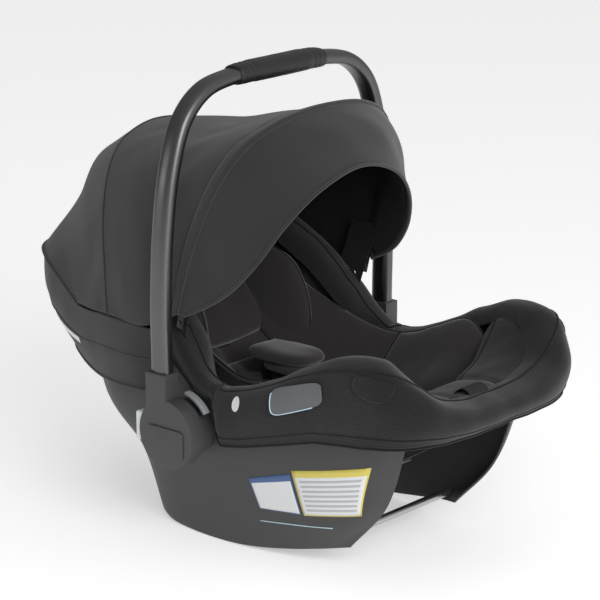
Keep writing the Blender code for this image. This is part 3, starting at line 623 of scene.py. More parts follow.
def make_canopy():
    """The canopy's outer cloth, pulled tight at its seams, with its lining, bindings and ridge."""
    fabric = "canopy_fabric"
    grid = canopy_grid()
    out = outward(grid)
    row = np.arange(grid.shape[1])
    slack = np.min([np.abs(row - seam) for seam in (0, RIDGE_ROW, REAR_ARCH_ROW, LAST_ROW)], axis=0)
    slack = np.clip(slack / 10, 0, 1)[None, :]
    grid = grid + out * (ripple(grid, CANOPY_SLACK, 26) * slack)[..., None]
    cloth = skin("canopy_cloth", grid, CLOTH, fabric, None)
    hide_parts("canopy_visor", "canopy_middle", "canopy_rear")
    folds(cloth)
    inside = (grid - out * LINING_GAP)[4:-4, 1 : REAR_ARCH_ROW + 2]
    lining = skin("canopy_lining", inside, 0.0008, fabric, None, LINING)
    folds(lining)
    lifted = grid + out * 0.0004
    for name, index, radius in CANOPY_SEAMS:
        folds(cord(name, lifted[:, index], radius, fabric, None))
    ridge = slice(RIDGE_ROW - 1, RIDGE_ROW + 4)
    folds(skin("ridge_band", grid[:, ridge] + out[:, ridge] * 0.0003, 0.0012, fabric, None, away=True))


# Each end of a tab: its back and front edges, its distance from the middle plane and its height.
TAB_FOOT, TAB_HEAD = (-0.086, -0.044, 0.158, 0.238), (-0.058, -0.018, 0.167, 0.335)
SNAP_X, SNAP_Z, SNAP_RADIUS = -0.050, 0.268, 0.0042


def make_tabs():
    """A cloth tab on each side that ties the canopy down to the rim, with a metal snap on it."""
    for side, name in SIDES:
        rows = []
        for back, front, out, height in (TAB_FOOT, TAB_HEAD):
            rows.append([(x, side * out, height) for x in np.linspace(back, front, 12)])
        grid = np.stack([spline(column, 26) for column in np.swapaxes(np.array(rows), 0, 1)])
        grid = grid + np.array((0, side, 0)) * ripple(grid, 0.0008, 60)[..., None]
        tab = skin(f"canopy_tab_{name}", grid, 0.0014, "canopy_fabric", None, LINING, out=(0, -side, 0))
        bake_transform(tab)
        turns = np.linspace(0, 2 * math.pi, 28, endpoint=False)
        snap_y = side * (TAB_FOOT[2] + 0.0007)
        ring = [
            (SNAP_X + SNAP_RADIUS * math.cos(turn), snap_y, SNAP_Z + SNAP_RADIUS * math.sin(turn))
            for turn in turns
        ]
        cord(f"tab_snap_{name}", ring, 0.0011, "steel", closed=True)


def make_boot():
    """The cloth skirt at the foot of the canopy, sewn along its middle and drawn in at its hem."""
    grid = facing_out(both_sides(arched_loft((BOOT_TOP, BOOT_BAND, BOOT_HEM), 110, 40)))
    out = normals(grid)
    sag = np.sin(np.linspace(0, math.pi, grid.shape[1]))[None, :, None]
    grid = grid + out * (ripple(grid, BOOT_SLACK, 30, 2.0)[..., None] * sag)
    boot = skin("boot_cloth", grid, CLOTH, "canopy_fabric")
    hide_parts("boot_cover")
    hem = 0 if grid[0, 0, 2] < grid[0, -1, 2] else -1
    cord("boot_hem", grid[:, hem], 0.0020, "canopy_fabric")
    middle = grid.shape[1] // 2
    cord("boot_seam", grid[:, middle] + out[:, middle] * 0.0002, 0.0009, "canopy_fabric")
    return boot


# The shell. Each rail runs from the foot end on the left to the middle of the head end.

SHELL_RAILS = in_metres((
    (
        (166, 100, 26), (130, 113, 19), (90, 121, 11), (40, 127, 3), (0, 130, 0), (-60, 129, 0),
        (-105, 122, 3), (-135, 105, 10), (-152, 70, 14), (-160, 0, 16),
    ),
    (
        (222.5, 102, 90), (205, 125, 85), (160, 138, 80), (100, 145, 80), (30, 149, 80), (-40, 149, 80),
        (-100, 144, 85), (-145, 128, 90), (-172, 90, 90), (-185, 0, 90),
    ),
    (
        (252, 106, 170), (235, 135, 170), (190, 153, 168), (120, 161, 165), (50, 165, 160),
        (-40, 166, 155), (-120, 162, 155), (-185, 145, 155), (-235, 100, 160), (-255, 0, 165),
    ),
    (
        (270, 118, 222), (252, 145, 262), (190, 157, 258), (120, 161, 226), (60, 165, 200),
        (20, 166, 192), (-30, 163, 232), (-90, 153, 284), (-160, 139, 324), (-220, 109, 354),
        (-243, 68, 370), (-251, 0, 376),
    ),
))


def make_shell():
    grid = both_sides(loft(SHELL_RAILS, 110, 36))
    shell = skin("shell_skin", grid, SHELL_WALL, "shell_plastic", rim=0.001)
    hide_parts("outer_shell")
    return shell


# The bucket's inner surface, which the padding follows: at each station from the foot end to the
# head, a point of the rim on the left, and (x, z) on the middle plane.

SEAT_SECTIONS = in_metres((
    ((256, 106, 212), (272, 188)),
    ((238, 130, 244), (250, 176)),
    ((195, 145, 246), (206, 155)),
    ((130, 150, 220), (135, 124)),
    ((60, 153, 194), (60, 100)),
    ((5, 154, 198), (-20, 96)),
    ((-50, 151, 246), (-100, 133)),
    ((-110, 143, 290), (-165, 195)),
    ((-170, 127, 324), (-208, 258)),
    ((-212, 100, 346), (-230, 312)),
    ((-230, 70, 358), (-239, 345)),
))
SEAT_STEPS = 211
PAD_WRINKLE = 0.0010


def seat_surface(places, turns):
    """Points and upward normals at places from 0, the lip, to 1, the head, and turns from -1 to 1."""
    rims = spline([rim for rim, _ in SEAT_SECTIONS], SEAT_STEPS)
    middles = spline([(x, 0, z) for _, (x, z) in SEAT_SECTIONS], SEAT_STEPS)
    at = np.array(places, float) * (SEAT_STEPS - 1)
    index = np.arange(SEAT_STEPS)
    rim = np.stack([np.interp(at, index, rims[:, k]) for k in range(3)], -1)
    middle = np.stack([np.interp(at, index, middles[:, k]) for k in range(3)], -1)
    turn = np.array(turns, float) * math.pi / 2
    width = np.sign(turn) * np.abs(np.sin(turn)) ** 0.8
    drop = np.maximum(np.cos(turn), 0) ** 0.8
    grid = rim[:, None] + (middle - rim)[:, None] * drop[None, :, None]
    grid[..., 1] = rim[:, 1][:, None] * width[None]
    up = normals(grid)
    if up[..., 2].sum() < 0:
        up = -up
    return grid, up


def crowned(count, roundness):
    """A profile from 0 at both ends to 1 in the middle, flatter for a larger roundness."""
    t = np.abs(np.linspace(-1, 1, count))
    return (1 - t**roundness) ** (1 / 2.2)


def make_pad(name, node, places, turns, base, thickness, counts, roundness, grooves):
    """A stuffed pad that lies on the seat, between two places and two turns, with sewn grooves.

    A groove is ("place" or "turn", where, depth, width)."""
    across = np.linspace(*turns, counts[1])
    down = np.linspace(*places, counts[0])
    grid, up = seat_surface(down, across)
    crown = crowned(counts[0], roundness[0])[:, None] * crowned(counts[1], roundness[1])[None]
    height = thickness * crown
    for kind, where, depth, width in grooves:
        away = (down[:, None] - where) if kind == "place" else (across[None] - where)
        height = height - depth * np.exp(-((away / width) ** 2)) * crown
    height = height + ripple(grid, PAD_WRINKLE, 34, thickness * 1000) * crown
    top = grid + up * (base + height)[..., None]
    bottom = grid + up * base
    made = add_object(name, pad_mesh(top, bottom, name), "liner_fabric")
    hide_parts(node)


def pad_mesh(top, bottom, name):
    """A closed pad from its top and bottom grids, which meet along their edges."""
    top = facing_out(top, (0, 0, 1))
    bottom = facing_out(bottom, (0, 0, 1))
    mesh = grid_mesh(top, name)
    shape = bmesh.new()
    shape.from_mesh(mesh)
    under = grid_mesh(bottom[:, ::-1], name + "_under")
    shape.from_mesh(under)
    bmesh.ops.remove_doubles(shape, verts=shape.verts, dist=0.00005)
    shape.to_mesh(mesh)
    shape.free()
    bpy.data.meshes.remove(under)
    return mesh


def ring_cushion(name, outline, push, half, roundness=2.6, rings=14):
    """A stuffed cushion inside a closed outline, swollen both ways along push."""
    edge = spline(np.concatenate([outline, outline[:1]]), 73)[:-1]
    centre, push = edge.mean(0), np.array(push, float)
    reach = np.sin(np.linspace(0.03, 1, rings) * math.pi / 2)
    loops = []
    for sign, order in ((1, reach), (-1, reach[-2::-1])):
        for share in order:
            swell = half * (1 - share**roundness) ** 0.5 if share < 1 else 0.0
            loops.append(centre + (edge - centre) * share + sign * push * swell)
    grid = np.array(loops)
    grid = grid + push * (ripple(grid, 0.0010, 40, half * 900)[..., None])
    mesh = grid_mesh(np.swapaxes(grid, 0, 1), name, closed_u=True)
    shape = bmesh.new()
    shape.from_mesh(mesh)
    bmesh.ops.holes_fill(shape, edges=[e for e in shape.edges if e.is_boundary], sides=0)
    bmesh.ops.recalc_face_normals(shape, faces=shape.faces)
    shape.to_mesh(mesh)
    shape.free()
    made = add_object(name, mesh, "liner_fabric")
    return made, edge


WING_OUTLINE = (
    (-0.134, 0.308), (-0.092, 0.289), (-0.070, 0.250), (-0.066, 0.210), (-0.081, 0.180), (-0.112, 0.169),
    (-0.155, 0.180), (-0.190, 0.224), (-0.196, 0.280), (-0.172, 0.315),
)
WING_Y, WING_LEAN, WING_HALF = 0.088, 0.10, 0.019
# Name, height, half thickness and left edge of each lobe of the crotch pad.
CROTCH_LOBES = (
    ("upper", 0.204, 0.009, ((-0.064, 0.023), (-0.036, 0.029), (0.004, 0.028), (0.025, 0.017))),
    ("lower", 0.190, 0.007, ((-0.042, 0.020), (-0.018, 0.026), (0.008, 0.025), (0.024, 0.015))),
)


def make_wings():
    """The two head cushions that stand up beside the head pad."""
    for side, name in SIDES:
        outline = np.array([(x, side * (WING_Y + WING_LEAN * (x + 0.13)), z) for x, z in WING_OUTLINE])
        _, edge = ring_cushion(f"head_wing_{name}", outline, (0, 1, 0), WING_HALF)
        piping(f"wing_seam_{name}", edge, 0.0009, "liner_fabric", closed=True)


def make_crotch_pad():
    """A soft pad folded over on itself, above the buckle."""
    for name, height, half, edge in CROTCH_LOBES:
        near = [(x, -y, height) for x, y in edge]
        outline = np.array([(x, y, height) for x, y in edge] + near[::-1])
        lobe, _ = ring_cushion(f"crotch_{name}", outline, (0, 0, 1), half, 5.0)
        if name == "upper":
            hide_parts("crotch_pad")


LINER_ENDS = (0.165, 0.96)
FLOOR_EDGE = 0.60
# The liner's wall on the left, from the foot end to the head: its top edge, its middle and its foot.
WALL_TOP = in_metres((
    (213, 110, 208.5), (188, 122, 240), (159, 129, 254), (110, 131, 236), (66, 131, 218),
    (23, 131, 215), (-31, 124, 230), (-72, 118, 248), (-120, 109, 274), (-180, 92, 311),
    (-212, 76, 332),
))
WALL_MIDDLE = in_metres((
    (207, 96, 194), (182, 106, 206), (150, 111, 205), (110, 111, 189), (66, 110, 173), (23, 109, 170),
    (-31, 106, 190), (-72, 102, 215), (-120, 94, 245), (-180, 78, 290), (-205, 64, 318),
))
WALL_FOOT = in_metres((
    (202, 74, 184), (176, 80, 178), (148, 82, 168), (110, 82, 153), (66, 80, 141), (23, 78, 136),
    (-31, 76, 143), (-72, 72, 163), (-120, 64, 198), (-180, 52, 264), (-200, 43, 302),
))
WALL_SEAM_X = 0.050
WALL_THICKNESS = 0.005
WALL_SWELL = 0.007
# The padded top of the lip, from the rim on the left to the middle, from front to back.
LIP_RAILS = in_metres((
    ((256, 121, 256), (269, 92, 232), (277, 55, 220.5), (278, 0, 218)),
    ((228, 130, 266), (238, 92, 236), (245, 50, 220), (247, 0, 217)),
    ((192, 132, 256), (202, 88, 224), (207, 45, 209), (208, 0, 206)),
    ((184, 126, 234), (192, 86, 202), (196, 45, 188), (197, 0, 185)),
))
LIP_SEAM_Y, LIP_SEAM_DEPTH, LIP_SEAM_WIDTH = 0.040, 0.0028, 0.006
LIP_BACK_ROW = 26
LOOP_PATH = in_metres((
    (257, -11, 212), (262, -11, 221.5), (271, -11, 226.5), (280, -11, 224), (286, -11, 214),
))


def swollen(grid, amount):
    """A grid pushed up into the seat, most in its middle and not at its edges."""
    up = normals(grid)
    seat_middle = np.array((0, 0, 0.30))
    if (up * (seat_middle - grid)).sum() < 0:
        up = -up
    swell = crowned(grid.shape[0], 6)[:, None] * crowned(grid.shape[1], 3)[None]
    return grid + up * (amount * swell + ripple(grid, 0.0007, 42))[..., None]


def make_walls():
    """The liner's side panels, front and rear, with piped top edges and a seam between them."""
    wall = loft((WALL_TOP, WALL_MIDDLE, WALL_FOOT), 140, 34)
    seam = int(np.argmin(np.abs(wall[:, 0, 0] - WALL_SEAM_X)))
    for side, name in SIDES:
        sided = wall * (1, side, 1)
        for place, part in (("front", sided[: seam + 1]), ("rear", sided[seam:])):
            panel = skin(
                f"liner_{place}_{name}", swollen(part, WALL_SWELL), WALL_THICKNESS, "liner_fabric",
                out=(0, -side, 0.2),
            )
            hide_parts(f"side_panel_{place}_{name}")
        for edge, path in (("top", sided[:, 0]), ("seam", sided[seam])):
            piping(f"liner_{edge}_{name}", path, 0.0011, "liner_fabric")


def make_lip():
    """The padded knit top of the lip, sewn in three parts, with the adjuster's loop through it."""
    grid = both_sides(arched_loft(LIP_RAILS, 50, 40))
    across = np.abs(grid[..., 1])
    valley = LIP_SEAM_DEPTH * np.exp(-(((across - LIP_SEAM_Y) / LIP_SEAM_WIDTH) ** 2))
    up = normals(grid)
    up = up if up[..., 2].sum() > 0 else -up
    grid = grid + up * (ripple(grid, 0.0010, 42, 3.0) - valley)[..., None]
    lip = skin("lip_pad", grid, 0.006, "knit_fabric", out=(0, 0, 1))
    for sign in (1, -1):
        seam = [row[np.argmin(np.abs(row[:, 1] - sign * LIP_SEAM_Y))] for row in np.swapaxes(grid, 0, 1)]
        piping(f"lip_seam_{sign + 1}", spline(seam[:-8], 40), 0.0007)
    piping("lip_back_seam", grid[:, LIP_BACK_ROW] + up[:, LIP_BACK_ROW] * 0.0003, 0.0007)
    strap = superellipse(0.0170, 0.0007, 6, 20)
    loop = sweep("adjuster_loop", spline(LOOP_PATH, 24), strap, "webbing", up=(0.3, 0, 1))
    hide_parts("adjuster_strap")


# Name, node, places, turns, base, thickness, grid counts, roundness and grooves of each pad.
SEAT_PADS = (
    (
        "seat_liner", "seat_pad", LINER_ENDS, (-FLOOR_EDGE, FLOOR_EDGE), 0.004, 0.024, (150, 90), (20, 10),
        (("turn", 0.0, 0.005, 0.03), ("place", 0.34, 0.004, 0.006)),
    ),
    (
        "insert_cushion", "body_insert", (0.25, 0.66), (-0.42, 0.42), 0.0245, 0.016, (100, 70), (7, 7),
        (("turn", 0.0, 0.003, 0.012), ("place", 0.46, 0.003, 0.006)),
    ),
    ("head_pillow", "head_pad", (0.70, 0.93), (-0.42, 0.42), 0.0245, 0.022, (60, 70), (4, 4), ()),
)


def make_padding():
    floor_pad, *loose_pads = SEAT_PADS
    make_pad(*floor_pad)
    make_walls()
    make_lip()
    for pad in loose_pads:
        make_pad(*pad)
    make_wings()
    make_crotch_pad()


# The cover over the rim. The crest runs from the middle of the foot end round the left to the head.

CREST = in_metres((
    (293, 0, 220), (293, 55, 223), (288, 98, 236), (277, 128, 262), (256, 149, 282), (215, 160, 283),
    (158, 165, 262), (97, 168, 232), (50, 169, 215), (18, 170, 210), (-15, 170, 228), (-45, 167, 260),
    (-95, 160, 303), (-160, 147, 342), (-220, 118, 374), (-250, 76, 390), (-262, 0, 396),
))
# Along x: the height of the hem, and how full the cover's side is.
HEM = (
    (-0.262, 0.365, 0.15), (-0.200, 0.330, 0.15), (-0.095, 0.250, 0.20), (-0.050, 0.228, 0.30),
    (-0.012, 0.199, 0.35), (0.016, 0.194, 0.40), (0.024, 0.152, 0.60), (0.032, 0.143, 0.90),
    (0.070, 0.150, 1.00), (0.173, 0.178, 1.00), (0.250, 0.186, 1.00), (0.300, 0.190, 1.00),
)
LIP_WIDENING, HEAD_WIDENING = 0.10, 0.75
# How far outside the crest, and how far below it, the cover's inner flange runs.
COVER_PROFILE = (
    (-0.030, 0.022), (-0.026, 0.010), (-0.019, 0.0025), (-0.010, 0.0), (-0.002, 0.0),
)


# Down the side: the share of the way from crest to hem, and how far the cover bulges out.
COVER_SIDE = ((0.03, 0.006), (0.10, 0.0115), (0.35, 0.017), (0.70, 0.0165), (1.0, 0.0115))
NOSE_REACH = 0.014
# Name, row and radius of each seam round the cover.
COVER_SEAMS = (("rim_piping", 18, 0.0012), ("hem_seam", 41, 0.0006), ("hem_edge", 45, 0.0016))


def cover_grid(stations):
    crest = both_sides(spline(CREST, stations)[:, None])[:-1, 0]
    place, height, fullness = np.transpose(HEM)
    hem = np.interp(crest[:, 0], place, height)
    full = np.interp(crest[:, :1], place, fullness)
    ahead = np.roll(crest, -1, axis=0) - np.roll(crest, 1, axis=0)
    out = np.stack([ahead[:, 1], -ahead[:, 0], 0 * ahead[:, 0]], -1)
    out /= np.linalg.norm(out, axis=1, keepdims=True)
    if (out[:, 1] * crest[:, 1]).sum() < 0:
        out = -out
    nose = np.clip((crest[:, :1] - 0.20) / 0.09, 0, 1) ** 1.5
    head = np.clip(-crest[:, :1] / 0.05, 0, 1)
    widening = 1 + LIP_WIDENING * nose + HEAD_WIDENING * head
    rows = [crest + out * reach * widening - np.array((0, 0, fall)) for reach, fall in COVER_PROFILE]
    for share, bulge in COVER_SIDE:
        forward = NOSE_REACH * nose * math.sin(math.pi * (0.25 + share * 0.5))
        row = crest + out * (bulge * full + forward)
        row[:, 2] = crest[:, 2] - 0.002 + (hem - crest[:, 2] + 0.002) * share
        rows.append(row)
    keyed = np.stack(rows, 1)
    return np.stack([spline(row, 46) for row in keyed])


def make_cover():
    grid = facing_out(cover_grid(200))
    out = normals(grid)
    grid = grid + out * ripple(grid, 0.0009, 40, 1.0)[..., None]
    cover = skin("cover_knit", grid, 0.0026, "knit_fabric", closed_u=True)
    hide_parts("seat_cover")
    first_is_inner = grid[0, 0, 0] < grid[0, -1, 0]
    order = grid if first_is_inner else grid[:, ::-1]
    facing = out if first_is_inner else out[:, ::-1]
    for name, index, radius in COVER_SEAMS:
        piping(name, order[:, index] + facing[:, index] * 0.0004, radius, closed=True)
    return cover


# The handle and its hubs

HANDLE_HALF = (
    (0.2025, 0.200), (0.2028, 0.250), (0.2035, 0.300), (0.1985, 0.390), (0.1860, 0.465),
    (0.1640, 0.520), (0.1300, 0.5485), (0.0800, 0.5585), (0.0000, 0.5600),
)


GRIP_HALF, GRIP_END_Y = (0.0172, 0.0128), 0.0765


def make_handle():
    """The bent tube, and the leather grip with three rings near each end."""
    half = spline([(LEG_X, y, z) for y, z in HANDLE_HALF], 121)
    path = both_sides(half[:, None])[:, 0]
    outline = superellipse(*TUBE_HALF, 2.8, 32)
    tube = sweep("handle_bar", path, outline, "anodised_tube", "handle", up=(1, 0, 0), swap=True)
    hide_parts("handle_tube")
    grip_path = spline([p for p in path if abs(p[1]) < GRIP_END_Y and p[2] > 0.5], 150)
    run = np.abs(np.linspace(-1, 1, 150))
    ribs = np.where((run > 0.62) & (run < 0.93), 0.028 * np.sin((run - 0.62) / 0.31 * math.pi * 6), 0)
    swell = 1.0 - 0.05 * (run > 0.62) - 0.06 * np.clip((run - 0.93) / 0.07, 0, 1) + ribs
    swell = np.convolve(np.pad(swell, 2, mode="edge"), np.ones(5) / 5, "valid")
    outline = superellipse(*GRIP_HALF, 2.5, 40)
    grip = sweep(
        "grip_wrap", grip_path, outline, "grip_leather", "handle", up=(1, 0, 0), swap=True, scale=swell
    )
    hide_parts("handle_grip")


def hub_outline(count=96):
    """The hub seen from the side: a disc that runs up into the socket of the handle's leg."""
    centre = np.array((-0.034, 0.172))
    low, high = np.array((LEG_X - 0.0158, 0.150)), np.array((LEG_X + 0.0158, SOCKET_TOP_Z))
    points = []
    turns = np.linspace(0, 2 * math.pi, count * 4, endpoint=False)
    for turn in turns:
        ahead = np.array((math.cos(turn), math.sin(turn)))
        to_disc = centre - np.array((HUB_X, HUB_Z))
        b = ahead @ to_disc
        disc = -b + math.sqrt(max(b * b - to_disc @ to_disc + HUB_RADIUS**2, 0))
        edges = [
            ((high if ahead[k] > 0 else low)[k] - centre[k]) / ahead[k]
            for k in (0, 1)
            if abs(ahead[k]) > 1e-6
        ]
        points.append(max(disc, min(edges)))
    reach = np.array(points)
    kernel = np.hanning(15)
    kernel /= kernel.sum()
    smooth = np.convolve(np.concatenate([reach[-7:], reach, reach[:7]]), kernel, "valid")
    top = np.abs(turns - math.pi / 2) < 0.62
    reach = np.where(top, reach, smooth)
    return [(centre[0] + r * math.cos(t), centre[1] + r * math.sin(t)) for r, t in zip(reach, turns)]


def plate(name, outline, side, inner, outer, rounding, slot):
    """A flat piece of the hub with rounded edges, from its (x, z) outline."""
    shape = bmesh.new()
    face = shape.faces.new([shape.verts.new((x, side * inner, z)) for x, z in outline])
    pushed = bmesh.ops.extrude_face_region(shape, geom=[face])["geom"]
    moved = [v for v in pushed if isinstance(v, bmesh.types.BMVert)]
    bmesh.ops.translate(shape, vec=(0, side * (outer - inner), 0), verts=moved)
    bmesh.ops.recalc_face_normals(shape, faces=shape.faces)
    mesh = bpy.data.meshes.new(name)
    shape.to_mesh(mesh)
    shape.free()
    made = add_object(name, mesh, slot, "handle", MATERIALS["hub_plastic"])
    edge = made.modifiers.new("Rounded edges", "BEVEL")
    edge.width = rounding
    edge.segments = 4
    edge.limit_method = "ANGLE"
    edge.angle_limit = math.radians(50)
    made = apply_modifiers(made)
    made.data.set_sharp_from_angle(angle=math.radians(40))
    return made


def rounded_box(low, high, radius, steps=6):
    """An (x, z) outline of a rectangle with round corners."""
    points = []
    corners = ((high[0], high[1], 0), (low[0], high[1], 1), (low[0], low[1], 2), (high[0], low[1], 3))
    for x, z, quarter in corners:
        cx = x - radius if x == high[0] else x + radius
        cz = z - radius if z == high[1] else z + radius
        for step in range(steps + 1):
            turn = math.pi / 2 * (quarter + step / steps)
            points.append((cx + radius * math.cos(turn), cz + radius * math.sin(turn)))
    return points


HUB_PANEL = rounded_box((HUB_X - 0.029, HUB_Z - 0.027), (HUB_X + 0.029, HUB_Z + 0.009), 0.006)


def make_hubs():
    for side, name in SIDES:
        hub = plate(
            f"hub_shell_{name}", hub_outline(), side, HUB_INNER_Y, HUB_OUTER_Y - 0.0015, 0.0045, "hub_plastic"
        )
        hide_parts(f"handle_hub_{name}")
        pad = plate(
            f"hub_panel_{name}", HUB_PANEL, side, HUB_OUTER_Y - 0.002, HUB_OUTER_Y + 0.0010, 0.0010,
            "badge_plastic",
        )
        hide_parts(f"hub_pad_{name}")


# Pieces laid on a surface

def surface_of(obj):
    return BVHTree.FromPolygons(
        [v.co for v in obj.data.vertices], [tuple(p.vertices) for p in obj.data.polygons]
    )


def lay(tree, x, z, side, lift):
    """The point where a line along Y, from outside, meets a surface, lifted off it."""
    hit, normal, _, _ = tree.ray_cast(Vector((x, side * 0.4, z)), Vector((0, -side, 0)))
    if hit is None:
        raise ValueError(f"nothing at x {x}, z {z}")
    if normal.y * side < 0:
        normal = -normal
    return np.array(hit + normal * lift)


def patch_on(tree, corners, side, lift, counts=(16, 12), power=None):
    """A grid over a surface between four (x, z) corners: low left, low right, high right, high left.

    A power draws the outline in to a rectangle with round corners or, at 2, to an ellipse."""
    a, b, c, d = (np.array(p, float) for p in corners)
    grid = np.zeros((*counts, 3))
    for i, u in enumerate(np.linspace(-1, 1, counts[0])):
        for j, v in enumerate(np.linspace(-1, 1, counts[1])):
            pull = (1 + (abs(u) ** power) * (abs(v) ** power)) ** (-1 / power) if power else 1.0
            s, t = 0.5 + 0.5 * u * pull, 0.5 + 0.5 * v * pull
            x, z = (a * (1 - s) + b * s) * (1 - t) + (d * (1 - s) + c * s) * t
            grid[i, j] = lay(tree, x, z, side, lift)
    return grid


PATCH_CORNERS = ((0.230, 0.249), (0.272, 0.241), (0.282, 0.266), (0.231, 0.272))


def make_patch(cover):
    """A shield-shaped patch sewn on each side of the cover near the foot end."""
    tree = surface_of(cover)
    for side, name in SIDES:
        grid = patch_on(tree, PATCH_CORNERS, side, 0.0006, (24, 20), 3.0)
        patch = skin(f"sewn_patch_{name}", grid, 0.0008, "knit_fabric", out=(0, side, 0), away=True)
        edge = np.concatenate([grid[:-1, 0], grid[-1, :-1], grid[:0:-1, -1], grid[0, :0:-1]])
        piping(f"sewn_patch_seam_{name}", edge, 0.0006, closed=True)


SHELL_PANELS = (
    ("blue_panel", BLUE_STICKER, ((0.062, 0.062), (0.124, 0.068), (0.118, 0.121), (0.053, 0.101))),
    ("yellow_panel", YELLOW_STICKER, ((0.128, 0.068), (0.203, 0.082), (0.226, 0.149), (0.121, 0.126))),
)
BOOT_STRIPS = (
    ("rear_strip_white", WHITE_PATCH, ((-0.318, 0.236), (-0.283, 0.2225), (-0.283, 0.2285), (-0.318, 0.242))),
    ("rear_strip_grey", PLAIN_STICKER, ((-0.281, 0.219), (-0.229, 0.208), (-0.229, 0.217), (-0.281, 0.228))),
)
# A thin line under the panels: its two ends along x, the height of its start and its slope.
RULE_ENDS, RULE_Z, RULE_SLOPE = (0.058, 0.162), 0.0445, 0.125


def make_stickers(shell, boot):
    """The printed panels and the thin line on the right of the seat."""
    for base, panels in ((surface_of(shell), SHELL_PANELS), (surface_of(boot), BOOT_STRIPS)):
        for name, paint, corners in panels:
            grid = patch_on(base, corners, -1, 0.0004)
            panel = add_object(name, grid_mesh(grid, name, unit_uv=True), "badge_plastic", paint=paint)
            thicken(panel, 0.0003)
            apply_modifiers(panel)
    tree = surface_of(shell)
    line = [
        lay(tree, x, RULE_Z + (x - RULE_ENDS[0]) * RULE_SLOPE, -1, 0.0004)
        for x in np.linspace(*RULE_ENDS, 20)
    ]
    cord("blue_rule", line, 0.0006, "badge_plastic", paint=ICE_BLUE)


BADGE_CORNERS = ((0.120, 0.200), (0.193, 0.228), (0.187, 0.254), (0.116, 0.231))
BADGE_LINE_LIFT = 0.0030
# A round mark on the right: its middle, and half its width and height.
ROUND_MARK = (0.061, 0.2010, 0.0062, 0.0085)


def make_badges(cover):
    """A plain plate on each side of the cover, with a light line round two of its edges."""
    tree = surface_of(cover)
    for side, name in SIDES:
        grid = patch_on(tree, BADGE_CORNERS, side, 0.0008, (28, 18), 5.0)
        badge = skin(
            f"badge_plate_{name}", grid, 0.0026, "badge_plastic", out=(0, side, 0), away=True, rim=0.0012
        )
        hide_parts(f"badge_{name}")
        path = np.concatenate([grid[0, -3:0:-1], grid[:-5, 0]]) + np.array((0, side * BADGE_LINE_LIFT, 0))
        cord(f"badge_line_{name}", spline(path, 40), 0.0007, "badge_plastic", paint=ICE_BLUE)
    x, z, half_width, half_height = ROUND_MARK
    corners = [(x + h * half_width, z + v * half_height) for h, v in ((-1, -1), (1, -1), (1, 1), (-1, 1))]
    disc = patch_on(tree, corners, -1, 0.0005, (14, 14), 2.0)
    add_object("round_mark", grid_mesh(disc, "round_mark"), "badge_plastic", paint=WHITE_PATCH)


# Carried over CAD nodes, light and camera

def paint_cad():
    slots = {row["node"]: row["material_slot"] for row in frame["record"]["subparts"]}
    for name, node in frame["nodes"].items():
        node.data.materials.clear()
        node.data.materials.append(MATERIALS[slots[name]])


def area_light(name, place, size, power, aim=(0, 0, 0.25)):
    data = bpy.data.lights.new(name, "AREA")
    data.shape = "DISK"
    data.size = size
    data.energy = power
    light = bpy.data.objects.new(name, data)
    light.location = place
    light.rotation_euler = (Vector(aim) - Vector(place)).to_track_quat("-Z", "Y").to_euler()
    bpy.context.scene.collection.objects.link(light)


def pale_floor():
    """A matt white sweep, lit a little from within as a light table is."""
    made = Shader("pale floor", FLOOR_WHITE, 0.9)
    at = made.place()
    made.set("Roughness", made.spread(made.noise(at, 3), 0.85, 0.95))
    made.set("Specular IOR Level", 0.05)
    made.set("Emission Color", (1.0, 1.0, 1.0, 1.0))
    made.set("Emission Strength", 0.42)
    return made.material


# The room is brighter on one side, so that the metal and the cloth show their form.
BRIGHT_SIDE = (0.75, 0.25, 0.60)
ROOM_DARK, ROOM_BRIGHT = 0.10, 0.60


def white_background(tree, strength=1.0):
    made = tree.nodes.new("ShaderNodeBackground")
    made.inputs["Color"].default_value = (1, 1, 1, 1)
    made.inputs["Strength"].default_value = strength
    return made


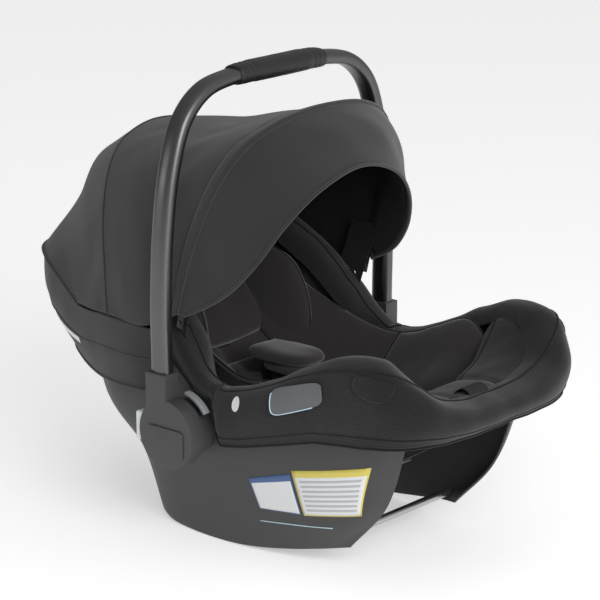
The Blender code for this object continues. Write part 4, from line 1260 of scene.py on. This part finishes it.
def make_room():
    """A room whose light is stronger from one side, and a plain white backdrop for the camera."""
    world = bpy.data.worlds.new("studio")
    world.use_nodes = True
    tree = world.node_tree
    around, behind = tree.nodes["Background"], white_background(tree)
    around.inputs["Color"].default_value = (1, 1, 1, 1)
    direction = tree.nodes.new("ShaderNodeTexCoord")
    lean = tree.nodes.new("ShaderNodeVectorMath")
    lean.operation = "DOT_PRODUCT"
    lean.inputs[1].default_value = BRIGHT_SIDE
    strength = tree.nodes.new("ShaderNodeMapRange")
    strength.inputs["From Min"].default_value = -1.0
    strength.inputs["To Min"].default_value = ROOM_DARK
    strength.inputs["To Max"].default_value = ROOM_BRIGHT
    seen = tree.nodes.new("ShaderNodeLightPath")
    pick = tree.nodes.new("ShaderNodeMixShader")
    for start, end in (
        (direction.outputs["Generated"], lean.inputs[0]),
        (lean.outputs["Value"], strength.inputs["Value"]),
        (strength.outputs["Result"], around.inputs["Strength"]),
        (seen.outputs["Is Camera Ray"], pick.inputs[0]),
        (around.outputs[0], pick.inputs[1]),
        (behind.outputs[0], pick.inputs[2]),
        (pick.outputs[0], tree.nodes["World Output"].inputs["Surface"]),
    ):
        tree.links.new(start, end)
    bpy.context.scene.world = world


def make_studio():
    shape = bmesh.new()
    bmesh.ops.create_grid(shape, x_segments=1, y_segments=1, size=6)
    mesh = bpy.data.meshes.new("floor")
    shape.to_mesh(mesh)
    shape.free()
    floor = bpy.data.objects.new("floor", mesh)
    floor.location.z = CAD_BOX[0][2] - 0.0002
    mesh.materials.append(pale_floor())
    bpy.context.scene.collection.objects.link(floor)
    make_room()
    area_light("key", (2.7, -1.6, 2.0), 2.0, 46)
    area_light("fill", (3.0, -0.6, 1.2), 1.8, 26)
    area_light("strip", (-2.0, -2.4, 0.8), 0.22, 4)
    bpy.context.scene.view_settings.view_transform = "Standard"


def make_camera():
    azimuth, elevation, distance = math.radians(41.107), math.radians(16.0), 3.22
    aim = Vector((0, 0, 0.2755))
    level = math.cos(elevation)
    back = Vector((math.sin(azimuth) * level, -math.cos(azimuth) * level, math.sin(elevation)))
    data = bpy.data.cameras.new("camera")
    data.sensor_width = 36.0
    data.lens = 159.2
    camera = bpy.data.objects.new("camera", data)
    camera.location = aim + back * distance
    camera.rotation_euler = (-back).to_track_quat("-Z", "Y").to_euler()
    bpy.context.scene.collection.objects.link(camera)
    bpy.context.scene.camera = camera


paint_cad()
make_canopy()
make_tabs()
boot = make_boot()
shell = make_shell()
make_padding()
cover = make_cover()
make_handle()
make_hubs()
make_stickers(shell, boot)
make_badges(cover)
make_patch(cover)
make_studio()
make_camera()
